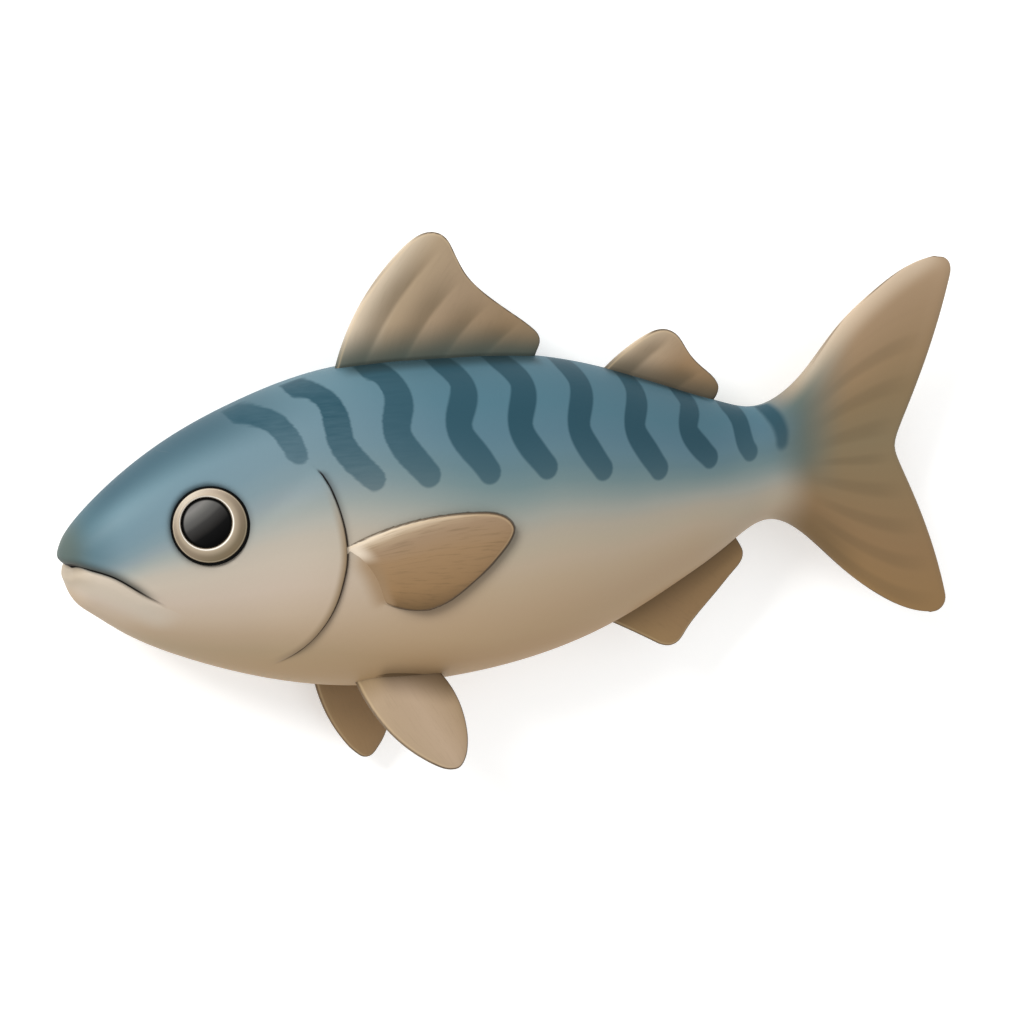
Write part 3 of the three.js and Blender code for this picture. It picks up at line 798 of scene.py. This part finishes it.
class Finish:
    """A material under way. constants are set on the shader's own sockets."""

    def __init__(self, name, **constants):
        self.material = bpy.data.materials.new(name)
        self.material.use_nodes = True
        self.shader = self.material.node_tree.nodes["Principled BSDF"]
        for socket, value in constants.items():
            self.shader.inputs[socket.replace("_", " ").title().replace("Ior", "IOR")].default_value = value

    def node(self, kind, settings=None, values=None, output=0):
        """Adds a node of a type with its settings and its sockets' values or links, and returns a term."""
        node = self.material.node_tree.nodes.new(kind)
        for setting, value in (settings or {}).items():
            if setting == "stops":
                self.set_stops(node.color_ramp, value)
            else:
                setattr(node, setting, value)
        for socket, value in (values or {}).items():
            self.feed(node.inputs[socket], value)
        return Term(self, node.outputs[output])

    def feed(self, socket, value):
        """Links a term to a socket, or sets the socket to a value."""
        if isinstance(value, Term):
            self.material.node_tree.links.new(value.socket, socket)
        else:
            socket.default_value = value

    def set_stops(self, ramp, stops):
        """Gives a colour ramp its stops, eased between two and straight between more."""
        ramp.interpolation = "EASE" if len(stops) == 2 else "LINEAR"
        while len(ramp.elements) < len(stops):
            ramp.elements.new(0.5)
        for element, (position, colour) in zip(ramp.elements, stops):
            element.position, element.color = position, colour

    def attribute(self, name):
        """A value that the mesh carries at its vertices."""
        return self.node("ShaderNodeAttribute", {"attribute_name": name}, output="Fac")

    def axes(self, vector):
        """The x, y and z of a vector."""
        outputs = self.node("ShaderNodeSeparateXYZ", values={"Vector": vector}).socket.node.outputs
        return [Term(self, outputs[axis]) for axis in "XYZ"]

    def place(self):
        """Object coordinates, and their x, y and z."""
        place = self.node("ShaderNodeTexCoord", output="Object")
        return place, self.axes(place)

    def surface(self):
        """The piece's own map: the share across it and the share out from its base."""
        return self.axes(self.node("ShaderNodeUVMap", {"uv_map": "surface"}))[:2]

    def ramp(self, value, stops):
        """A colour that follows a value through stops of a value and a colour's hexadecimal digits."""
        low, high = stops[0][0], stops[-1][0]
        shares = [((at - low) / (high - low), paint(code)) for at, code in stops]
        return self.node("ShaderNodeValToRGB", {"stops": shares}, {"Fac": (value - low) / (high - low)})

    def blend(self, share, under, over):
        """The colour under turned into the colour over by a share."""
        return self.node("ShaderNodeMix", {"data_type": "RGBA"}, {0: share, 6: under, 7: over}, output=2)

    def noise(self, place, scale, stretch=(1, 1, 1), detail=3.0):
        """Noise of a scale in cells a metre over Object coordinates, squeezed along the axes by stretch."""
        mapped = self.node("ShaderNodeMapping", values={"Vector": place, "Scale": stretch})
        return self.node("ShaderNodeTexNoise", values={"Vector": mapped, "Scale": scale, "Detail": detail})

    def bump(self, height, distance, strength):
        """Relief of a height of 0 to 1 over a distance in metres, into the shader's normal."""
        values = {"Height": height, "Distance": distance, "Strength": strength}
        self.feed(self.shader.inputs["Normal"], self.node("ShaderNodeBump", values=values))

    def done(self, **inputs):
        """Feeds the shader's inputs and returns the material."""
        for socket, value in inputs.items():
            self.feed(self.shader.inputs[socket.replace("_", " ").title()], value)
        return self.material


def paint(code):
    """A colour from its six hexadecimal digits, as the linear light that a shader works in."""
    channels = [int(code[i:i + 2], 16) / 255 for i in (0, 2, 4)]
    return (*[c / 12.92 if c <= 0.04045 else ((c + 0.055) / 1.055) ** 2.4 for c in channels], 1.0)


# Colours of the head and of the flank by height over the fading line, from the belly up.
HEAD_TONES = [
    (-1.2, "a38865"), (-1.0, "a08b6e"), (-0.85, "a69178"), (-0.7, "ad9b86"), (-0.5, "b1a292"),
    (-0.3, "aea394"), (-0.18, "a79f92"), (-0.1, "9d9b92"), (0.0, "8b918d"), (0.1, "7b878a"),
    (0.2, "6d8086"), (0.33, "637a83"), (0.5, "5d7680"), (0.7, "57737d"),
]
FLANK_TONES = [
    (-1.0, "a68863"), (-0.85, "aa906f"), (-0.68, "aa9275"), (-0.5, "aa967c"), (-0.37, "aa9983"),
    (-0.27, "a59985"), (-0.17, "a09787"), (-0.07, "92938a"), (0.03, "7b8784"), (0.13, "667b7d"),
    (0.23, "59737a"), (0.33, "53707b"), (0.43, "4c6b78"), (0.6, "436673"), (0.8, "3f616e"),
]
# Colours of the tail by height share, from its lower to its upper leading edge.
TAIL_TONES = [
    (-1.0, "8a6c45"), (-0.6, "856a49"), (-0.2, "7f6b4d"), (0.05, "7c6c50"), (0.3, "806c4e"),
    (0.5, "8c7455"), (0.75, "957c5f"), (1.0, "a0876b"),
]
# The iris's colours by their slant, painted light and shade: lit towards the snout and the back, shaded
# towards the gill.
IRIS_LIGHT_AND_SHADE_TONES = [
    (-0.01, "aea495"), (-0.007, "9e8f7e"), (-0.0035, "877967"), (0, "807260"), (0.0035, "796a57"),
    (0.007, "6e614b"), (0.01, "6b5b42"),
]
# A painted highlight on the pupil: its colours from its lower rear up to its upper front.
PUPIL_HIGHLIGHT_TONES = [
    (-0.0059, "050505"), (-0.0041, "0a0a0a"), (-0.0018, "101010"), (-0.0009, "201f1e"),
    (0.0004, "2c2b2a"), (0.0015, "343332"), (0.0024, "484745"), (0.0034, "504f4d"), (0.0045, "5f5e5b"),
    (0.0056, "6f6d6a"), (0.0066, "605e5c"),
]
# Cream along the tail's upper edge, partly its own colour and partly a painted highlight.
TAIL_CREAM_AND_HIGHLIGHT = paint("baa68e")
WRIST_TINT = paint("5a655e")
SNOUT_TINT = paint("3e5a63")
SNOUT_GREY = paint("46534f")
CAP_EDGE = paint("2b4854")
JAW = paint("b3a797")
JAW_FRONT = paint("9f9280")
LIP_SHADE = paint("3a3a34")
BAND_BLUE = paint("1a404d")
# Brown of the rays, also painted shade in the fins' grooves, on the tail's lower edge and towards the iris's
# front and rear.
RAY_BROWN_AND_SHADE = paint("4f422d")
# A painted highlight along the fins' leading edges.
EDGE_HIGHLIGHT = paint("c9b18b")
# Dark rims of the fins and the tail, partly painted shade, and the painted shade of the pectoral fin's
# shadow, the pelvic crease and the anal fin's base.
DARK_OUTLINE_AND_SHADE = paint("382712")
# Painted shade in the creases behind the gill cover and round the eyes.
CREASE_SHADE = paint("1e1610")
GILL_SHADE = paint("867258")
# Brown painted shade in the lower part of the gill cover's groove.
GILL_SLIT_BROWN_SHADE = paint("2c1b0c")
PECTORAL_BED = paint("947b5e")
# Black, which also stands for painted shade in the slit of the mouth, the gill cover's groove and round each
# eye.
BLACK_AND_SLIT_SHADE = paint("050505")
# Painted shade where a fin meets the body.
FIN_ROOT_SHADE = paint("1c2624")
# Painted light on the iris: paler towards its inner edge, with painted highlights on its crest and its inner
# rim.
IRIS_INNER_LIGHT = paint("b5a68f")
IRIS_CREST_HIGHLIGHT = paint("dcccae")
IRIS_RIM_HIGHLIGHT = paint("f3ede2")

# Colours of the fins, from the leading to the last ray. The dorsal fins are paler at the leading ray, partly
# their own colour and partly a painted highlight, and the pectoral fin's palest tones, along its top edge,
# are a painted highlight.
DORSAL_TONES = [
    (0, "bdad98"), (0.08, "b6a690"), (0.2, "a08c72"), (0.45, "958067"), (0.75, "887257"), (1, "76664f"),
]
SECOND_TONES = [(0, "bba88f"), (0.2, "a6937b"), (0.55, "927758"), (1, "6f5c42")]
ANAL_TONES = [(0, "937751"), (0.3, "8b6f4d"), (1, "846946")]
LEFT_TONES = [(0, "9f8a70"), (0.5, "a8927a"), (1, "947d60")]
RIGHT_TONES = [(0, "8f7452"), (1, "866b4b")]
PECTORAL_TONES = [
    (0, "d6c8b4"), (0.06, "bcaa92"), (0.13, "9e886e"), (0.21, "927a60"), (0.4, "8f7353"),
    (0.75, "876a48"), (0.92, "745a3b"), (1, "695133"),
]

# How a fin's rays run: the shares across it that they lie between, how many would fill it, how far they lean
# towards its tip, the depth of the grooves and how dark their painted shade is, the strength of its streaks
# and how far its tones slide towards the tip, the dark line along the leading ray, and how much of that is
# lost at the last.
DORSAL_RAYS = {
    "first": 0.17, "last": 0.88, "count": 5.25, "lean": 0.13, "depth": 0.1, "shade": 0.5,
    "streaks": 0.03, "slide": 0, "lead": 0, "trail": 0,
}
SECOND_RAYS = {**DORSAL_RAYS, "first": 0.26, "last": 0.86, "count": 2.5, "lean": 0.12}
SMOOTH_RAYS = {
    "first": 0, "last": 0, "count": 1, "lean": 0, "depth": 0, "shade": 0,
    "streaks": 0.04, "slide": 0, "lead": 0.7, "trail": 0,
}
PECTORAL_RAYS = {**SMOOTH_RAYS, "streaks": 0.12, "slide": 0.13, "lead": 1, "trail": 0.7}

# The painted shade on a fin next to the body: a colour, and another one at the leading ray if it has one,
# which on the pectoral fin is a painted highlight, how far they reach in metres, how much of that is lost
# towards the last ray, and the strengths of the painted shade and of the dark painted crease line on the
# contact.
DORSAL_ROOT = {"root_shade": "3f4a44", "reach": 0.0125, "narrowing": 0.35, "strength": 0.93, "line": 0.5}
SECOND_ROOT = {"root_shade": "464236", "reach": 0.0085, "narrowing": 0.2, "strength": 0.8, "line": 0.3}
ANAL_ROOT = {"root_shade": "5a452a", "reach": 0.008, "narrowing": 0, "strength": 0.6, "line": 0.3}
LEFT_ROOT = {"root_shade": "4f3c26", "front": "836d4d", "reach": 0.0085, "narrowing": 0, "strength": 0.8, "line": 0}
RIGHT_ROOT = {"root_shade": "5a452a", "reach": 0.008, "narrowing": 0, "strength": 0.25, "line": 0.3}
PECTORAL_ROOT = {
    "root_shade": "8b7255", "front": "d6c7b3", "reach": 0.004, "narrowing": 0.4, "strength": 1, "line": 0,
}


def trunk_colour(finish, tone, height, along):
    """Blue over beige on the head and, bluer, on the flank, with a dark edge on the nape, and a grey-blue
    snout over a pale jaw, parted by the mouth line."""
    head, flank = finish.ramp(tone, HEAD_TONES), finish.ramp(tone, FLANK_TONES)
    colour = finish.blend(along.rise(0.05, 0.125), head, flank)
    colour = finish.blend(height.rise(0.75, 1) * along.rise(0.085, 0.04) * 0.9, colour, CAP_EDGE)
    mouth = finish.attribute("mouth")
    front = along.rise(0.009, 0.001)
    snout = along.rise(0.017, 0.002) * mouth.rise(-0.0002, 0.0004)
    colour = finish.blend(snout, colour, finish.blend(front, SNOUT_TINT, SNOUT_GREY))
    jaw = mouth.rise(0.0002, -0.0008) * mouth.rise(-0.009, -0.003) * along.rise(0.034, 0.02)
    return finish.blend(jaw, colour, finish.blend(front, JAW, JAW_FRONT))


def tail_colour(finish, mottle, height, along):
    """Tan with cream along the upper edge, partly a painted highlight, and brown along the lower one, partly
    painted shade, rays that fan out as a cosine of the height share, a blue-grey wrist, and a thin dark line
    on the rim."""
    colour = finish.ramp(height + (mottle - 0.5) * 0.1, TAIL_TONES)
    edge = finish.attribute("edge")
    tip = (along - height.rise(0.85, 1) * 0.004).rise(0.2875, 0.276)
    upper = height.rise(0.3, 0.6) * along.rise(0.234, 0.247) * tip
    colour = finish.blend(edge.rise(0.0079, 0.0006) * upper, colour, TAIL_CREAM_AND_HIGHLIGHT)
    lower = height.rise(-0.4, -0.9) * along.rise(0.265, 0.248)
    colour = finish.blend(lower * 0.5, colour, RAY_BROWN_AND_SHADE)
    reach = along.rise(0.242, 0.258) * along.rise(0.291, 0.272) * height.rise(0.76, 0.68)
    phase = (height - height.rise(0.05, -0.15) * 0.08) * (math.pi * TAIL_RAYS)
    colour = finish.blend(phase.cosine().rise(0.4, -1) * reach * 0.21, colour, RAY_BROWN_AND_SHADE)
    wrist = along.rise(0.262, 0.238) * height.rise(-0.5, 0.15) * height.rise(1.15, 0.78)
    colour = finish.blend(wrist, colour, WRIST_TINT)
    return finish.blend(edge.rise(0.0003, 0.0001) * along.rise(0.24, 0.26) * 0.7, colour, DARK_OUTLINE_AND_SHADE)


def band_stroke(finish, brush, tone, along):
    """How strongly the bands' blue covers the skin: the signed distance to a band's edge, frayed by brush
    strokes and blurred, fading below the back, and grainier on the head."""
    streaks = (brush - 0.5) * (along.rise(0.13, 0.06) * 0.0014)
    blur = 0.0005 + along.rise(0.22, 0.235) * 0.0009
    band = (finish.attribute("bands") + streaks) / blur
    fade = tone.rise(-0.1, 0.6) * 0.4 + 0.6
    grain = (brush - 0.5) * (along.rise(0.12, 0.06) * 0.5) + 1
    return band.rise(1, -1) * finish.attribute("band_depth") * fade * grain


def draw_mouth(finish, colour, x, along):
    """A soft painted shade on the upper lip and the black painted shade in the slit of the mouth, wider at
    the front, up to its corner.
    """
    mouth = finish.attribute("mouth")
    lip = mouth.bell(0.0004, 0.0016) * mouth.rise(-0.0001, 0.0002) * x.rise(-0.126, -0.133)
    colour = finish.blend(lip * 0.85, colour, LIP_SHADE)
    front = along.rise(0.003, 0.0005) * 0.0006
    line = (mouth - front).rise(0.00065, 0.0004) * (mouth + front * 0.3).rise(-0.00045, -0.0002)
    return finish.blend(line * x.rise(-0.1238, -0.1332), colour, BLACK_AND_SLIT_SHADE)


def draw_gill(finish, colour, y):
    """The painted shade of the groove behind the gill cover, a line black above and brown below, a painted
    shade before its lower part, and a softer painted shade behind it."""
    gill, near = finish.attribute("gill"), finish.attribute("gill_near")
    ends = y.rise(-0.0385, -0.032) * y.rise(0.0212, 0.0192) * near
    low = y.rise(0.02, -0.005)
    before = gill.rise(0.003, 0.0005) * gill.rise(-0.0004, 0) * ends * low
    colour = finish.blend(before, colour, GILL_SHADE)
    behind = gill.bell(-0.0005, 0.0012) * gill.rise(0.0002, -0.0002) * (1 - low * 0.6) * ends
    colour = finish.blend(behind * 0.45, colour, CREASE_SHADE)
    line = gill.rise(-0.0007, -0.0004) * gill.rise(0.0002, 0) * ends
    return finish.blend(line * (1 - low * 0.1), colour, finish.blend(low, BLACK_AND_SLIT_SHADE, GILL_SLIT_BROWN_SHADE))


def draw_paired_fins(finish, colour, x, y):
    """The painted shadow and the thin painted shade line under the folded pectoral fin, the tan before its
    root, and the painted shade of the crease where the pelvic fin meets the belly."""
    shade, near = finish.attribute("shade"), finish.attribute("shade_near")
    here = near * y.rise(0.003, -0.006) * x.rise(-0.062, -0.045)
    soft = shade.bell(0, 0.0028) * shade.rise(-0.0002, 0.0002) * here
    colour = finish.blend(soft * 0.4, colour, DARK_OUTLINE_AND_SHADE)
    line = shade.rise(0.0005, 0.0002) * shade.rise(-0.003, -0.002) * near
    colour = finish.blend(line * 0.75, colour, DARK_OUTLINE_AND_SHADE)
    root, near = finish.attribute("root"), finish.attribute("root_near")
    colour = finish.blend(root.rise(0.006, 0) * near, colour, PECTORAL_BED)
    crease, near = finish.attribute("crease"), finish.attribute("crease_near")
    soft = crease.bell(0, 0.0035) * crease.rise(-0.0005, 0.0003) * near
    colour = finish.blend(soft * 0.42, colour, DARK_OUTLINE_AND_SHADE)
    line = crease.rise(0.0006, 0.0002) * crease.rise(-0.003, -0.002) * near
    return finish.blend(line * 0.72, colour, DARK_OUTLINE_AND_SHADE)


def shade_fin_bases(finish, colour, height, along):
    """Painted shade on the skin along the ridges from which both dorsal fins and the anal fin rise."""
    first = along.rise(0.084, 0.09) * along.rise(0.151, 0.147)
    second = along.rise(0.17, 0.175) * along.rise(0.21, 0.206)
    colour = finish.blend(height.rise(0.955, 0.995) * (first + second) * 0.6, colour, FIN_ROOT_SHADE)
    below = along.rise(0.172, 0.178) * along.rise(0.221, 0.217)
    return finish.blend(height.rise(-0.96, -0.995) * below * 0.6, colour, DARK_OUTLINE_AND_SHADE)


def skin_finish():
    """The trunk's colour, turning into the tail's behind the wrist, then the bands, and painted shade at the
    mouth, the gill cover, the contacts of the fins and the eyes over it, with fine scales in relief."""
    finish = Finish("fish_skin", specular_ior_level=0.2, coat_roughness=0.35)
    place, (x, y, _) = finish.place()
    height, along = finish.attribute("height"), finish.attribute("along")
    mottle, brush = finish.noise(place, 30), finish.noise(place, 480, (0.25, 2.4, 1))
    tone = finish.attribute("tone") + (mottle - 0.5) * 0.06
    turned = along + height.rise(0.5, 0.95) * 0.003 - height.bell(-0.4, 0.35) * 0.003
    trunk, tail = trunk_colour(finish, tone, height, along), tail_colour(finish, mottle, height, along)
    colour = finish.blend(turned.rise(0.227, 0.245), trunk, tail)
    colour = finish.blend(band_stroke(finish, brush, tone, along), colour, BAND_BLUE)
    colour = draw_mouth(finish, colour, x, along)
    colour = draw_gill(finish, colour, y)
    colour = draw_paired_fins(finish, colour, x, y)
    colour = shade_fin_bases(finish, colour, height, along)
    colour = shade_eye_rims(finish, colour, place)
    grain = finish.noise(place, 900, detail=2)
    scales = finish.node("ShaderNodeTexVoronoi", values={"Vector": place, "Scale": 620.0}, output="Distance")
    finish.bump(grain * 0.5 + scales * 0.5 + brush * 0.4, 0.0001, 0.3)
    coat = 0.04 + height.rise(0.2, 0.9) * 0.04
    return finish.done(base_color=colour, roughness=0.5 + mottle * 0.1, coat_weight=coat)


def shade_eye_rims(finish, colour, place):
    """Painted shade round each eye: a soft dark halo round its black rim, and black on the skin within it, by
    the distance from the eye's axis.
    """
    for side in (1, -1):
        centre, axis = eye_seat(side)
        way = finish.node("ShaderNodeVectorMath", {"operation": "SUBTRACT"}, {0: place, 1: to_part(centre)})
        spin = finish.node("ShaderNodeVectorMath", {"operation": "CROSS_PRODUCT"}, {0: way, 1: axis})
        radius = finish.node("ShaderNodeVectorMath", {"operation": "LENGTH"}, {0: spin}, output="Value")
        ahead = finish.node("ShaderNodeVectorMath", {"operation": "DOT_PRODUCT"}, {0: way, 1: axis}, "Value")
        here = ahead.rise(-0.012, -0.01)
        colour = finish.blend(radius.bell(0.011, 0.0012) * here * 0.42, colour, CREASE_SHADE)
        colour = finish.blend(radius.rise(0.0111, 0.0109) * here, colour, BLACK_AND_SLIT_SHADE)
    return colour


def fin_finish(name, tones, rays, root):
    """A fin's finish over its own map: tones from the leading to the last ray, a groove of painted shade that
    darkens behind each ray up to the crisp pale start of the next, fine streaks, painted shade next to the
    body with a thin dark painted crease line on the contact, and along the free edge a thin dark line, an
    outline that is in part painted shade, with a painted highlight inside it."""
    finish = Finish(name, specular_ior_level=0.2)
    place, _ = finish.place()
    across, out = finish.surface()
    mottle = finish.noise(place, 45)
    fibres = finish.node("ShaderNodeCombineXYZ", values={"X": across * 45, "Y": out * 5})
    fibres = finish.node("ShaderNodeTexNoise", values={"Vector": fibres, "Scale": 1.0, "Detail": 3.0})
    streaks = (fibres - 0.5) * rays["streaks"] * 0.5 + (out - 0.3) * rays["slide"]
    colour = finish.ramp(across + (mottle - 0.5) * 0.06 + streaks, tones)
    colour = finish.blend(fibres.rise(0.5, 0.75) * rays["streaks"] * 2, colour, RAY_BROWN_AND_SHADE)
    phase = ((across - rays["first"] - (out - 0.3) * rays["lean"]) * rays["count"]).fraction()
    reach = out.rise(0, 0.12) * out.rise(1, 0.58) * across.rise(rays["last"], rays["last"] - 0.08)
    groove = phase.rise(0, 0.85) * phase.rise(1, 0.86) * reach
    colour = finish.blend(groove * rays["shade"], colour, RAY_BROWN_AND_SHADE)
    clear, edge = finish.attribute("clear"), finish.attribute("edge")
    front = paint(root.get("front", root["root_shade"]))
    root_shade = finish.blend(across.rise(0.15, 0.4), front, paint(root["root_shade"]))
    narrowed = (1 - across.rise(0.5, 1) * root["narrowing"]) * root["reach"]
    colour = finish.blend(clear.rise(narrowed, 0) * root["strength"], colour, root_shade)
    colour = finish.blend(clear.rise(0.0013, 0.0003) * root["line"], colour, FIN_ROOT_SHADE)
    colour = finish.blend(edge.bell(0.0007, 0.00025) * across.rise(0.6, 0.2) * 0.25, colour, EDGE_HIGHLIGHT)
    dark = edge.rise(0.00055, 0.0002) * (across.rise(0.02, 0.12) * (1 - rays["lead"]) + rays["lead"])
    colour = finish.blend(dark * (1 - across.rise(0.75, 0.95) * rays["trail"]) * 0.85, colour, DARK_OUTLINE_AND_SHADE)
    grain = finish.noise(place, 700, detail=2)
    finish.bump(fibres * 0.6 + grain * 0.4, 0.00012, 0.3)
    return finish.done(base_color=colour, roughness=0.5 + mottle * 0.12)


def iris_finish():
    """Painted light and shade: cream towards the snout and the back, brown towards the gill, paler inwards,
    with painted highlights as fine pale lines on its crest and its inner rim."""
    finish = Finish("iris_ring", specular_ior_level=0.3)
    place, (x, y, _) = finish.place()
    mottle = finish.noise(place, 160)
    centre = to_part(eye_seat(1)[0])
    slant = (x - centre[0]) * 0.58 - (y - centre[1]) * 0.81
    colour = finish.ramp(slant + (mottle - 0.5) * 0.001, IRIS_LIGHT_AND_SHADE_TONES)
    colour = finish.blend(abs(x - centre[0]).rise(0.005, 0.0105) * 0.3, colour, RAY_BROWN_AND_SHADE)
    run = finish.attribute("run")
    colour = finish.blend(run.rise(0.56, 0.72) * 0.45, colour, IRIS_INNER_LIGHT)
    colour = finish.blend(run.bell(0.46, 0.016) * 0.35, colour, IRIS_CREST_HIGHLIGHT)
    colour = finish.blend(run.bell(0.755, 0.02), colour, IRIS_RIM_HIGHLIGHT)
    finish.bump(mottle, 0.00005, 0.3)
    return finish.done(base_color=colour, roughness=0.4 + mottle * 0.1)


def pupil_finish():
    """Black with a painted highlight that turns it grey towards the snout and the back, and black again at
    its edge.
    """
    finish = Finish("pupil", roughness=0.26, ior=1.1)
    place, (x, y, _) = finish.place()
    mottle = finish.noise(place, 90)
    centre = to_part(eye_seat(1)[0])
    ahead, above = x - (centre[0] + PUPIL_SHIFT[0] * MM), y - (centre[1] + PUPIL_SHIFT[1] * MM)
    colour = finish.ramp(above * 0.82 - ahead * 0.57 + (mottle - 0.5) * 0.0008, PUPIL_HIGHLIGHT_TONES)
    finish.bump(mottle, 0.00004, 0.2)
    run = finish.attribute("run")
    colour = finish.blend(run.rise(0.355, 0.305), colour, BLACK_AND_SLIT_SHADE)
    return finish.done(base_color=colour)


def plain_finish(name, light, dark, scale, relief=0.00005, **constants):
    """Two close colours mixed by noise, with a fine grain."""
    finish = Finish(name, **constants)
    place, _ = finish.place()
    mottle = finish.noise(place, scale)
    finish.bump(mottle, relief, 0.4)
    return finish.done(base_color=finish.blend(mottle.rise(0.3, 0.7), paint(light), paint(dark)))


# ---- Stage ----


FLOOR = 3.0  # half the floor's width in metres
LAMP = {"at": (-0.934, 0.821, 0.747), "size": 0.4, "watts": 16}
SURROUND = 0.8  # brightness of the even white light from all around
CAMERA = {"turn": (-15, -26), "target": (-0.008698, -0.005431, 0.0255), "distance": 0.862895, "lens": 100}


def set_stage():
    """A plain pale floor that glows faintly, which washes out the shadows on it, under soft studio light: a
    lamp over the head's upper side, and an even surround.
    """
    mesh = bpy.data.meshes.new("floor")
    corners = [(-FLOOR, -FLOOR, 0), (FLOOR, -FLOOR, 0), (FLOOR, FLOOR, 0), (-FLOOR, FLOOR, 0)]
    mesh.from_pydata(corners, [], [(0, 1, 2, 3)])
    floor = bpy.data.objects.new("floor", mesh)
    glow = {"emission_color": (1, 1, 1, 1), "emission_strength": 0.26}
    mesh.materials.append(plain_finish("floor_paper", "fdfdfc", "fbfbfa", 3, roughness=0.9, **glow))
    bpy.context.scene.collection.objects.link(floor)
    lamp = bpy.data.lights.new("key", "AREA")
    lamp.size, lamp.energy = LAMP["size"], LAMP["watts"]
    light = bpy.data.objects.new("key", lamp)
    light.location = LAMP["at"]
    light.rotation_euler = (-light.location).to_track_quat("-Z", "Y").to_euler()
    bpy.context.scene.collection.objects.link(light)
    world = bpy.data.worlds.new("studio")
    world.use_nodes = True
    world.node_tree.nodes["Background"].inputs["Color"].default_value = (1, 1, 1, 1)
    world.node_tree.nodes["Background"].inputs["Strength"].default_value = SURROUND
    bpy.context.scene.world = world
    bpy.context.scene.view_settings.view_transform = "Standard"


def set_camera():
    """Looks down on the flank from 26 degrees towards the head and 15 degrees towards the back of square on:
    its place is the target plus the distance along its own axis."""
    camera = bpy.data.objects.new("camera", bpy.data.cameras.new("camera"))
    camera.data.lens, camera.data.sensor_width = CAMERA["lens"], 36
    camera.rotation_euler = (math.radians(CAMERA["turn"][0]), math.radians(CAMERA["turn"][1]), 0)
    bpy.context.scene.collection.objects.link(camera)
    bpy.context.scene.camera = camera
    back = camera.rotation_euler.to_matrix().col[2]
    camera.location = np.array(CAMERA["target"]) + CAMERA["distance"] * np.array(back)


# ---- The fish ----

# Name, shape, how it stands, side, and how it looks.
FINS = [
    ("dorsal_fin", DORSAL_FIN, upright, 1, DORSAL_RAYS, DORSAL_TONES, DORSAL_ROOT),
    ("second_dorsal_fin", SECOND_DORSAL_FIN, upright, 1, SECOND_RAYS, SECOND_TONES, SECOND_ROOT),
    ("anal_fin", ANAL_FIN, upright, 1, SMOOTH_RAYS, ANAL_TONES, ANAL_ROOT),
    ("pelvic_fin_left", LEFT_PELVIC_FIN, splayed, 1, SMOOTH_RAYS, LEFT_TONES, LEFT_ROOT),
    ("pelvic_fin_right", RIGHT_PELVIC_FIN, splayed, -1, SMOOTH_RAYS, RIGHT_TONES, RIGHT_ROOT),
    ("pectoral_fin_left", PECTORAL_FIN, folded, 1, PECTORAL_RAYS, PECTORAL_TONES, PECTORAL_ROOT),
    ("pectoral_fin_right", PECTORAL_FIN, folded, -1, PECTORAL_RAYS, PECTORAL_TONES, PECTORAL_ROOT),
]

set_camera()
set_stage()

skin = build_skin(skin_finish())
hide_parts("fish")

for name, shape, place, side, rays, tones, root in FINS:
    fin = build_fin(name, shape, place, side, rays, fin_finish(name, tones, rays, root))

ring, glass = iris_finish(), pupil_finish()
# The eye's black rim is painted shade of the groove round the eye.
black = plain_finish("eye_rim", "040404", "080706", 90, roughness=0.6, specular_ior_level=0.05)
for side, name in ((1, "left"), (-1, "right")):
    iris = build_lathe(f"iris_{name}", rounded_profile(IRIS_PROFILE), side, ring)
    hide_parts(f"eye_{name}")
    pupil = build_lathe(f"pupil_{name}", rounded_profile(PUPIL_PROFILE), side, glass)
    rim = build_lathe(f"eye_rim_{name}", outline(RIM_PROFILE)(np.linspace(0, 1, 32)), side, black)
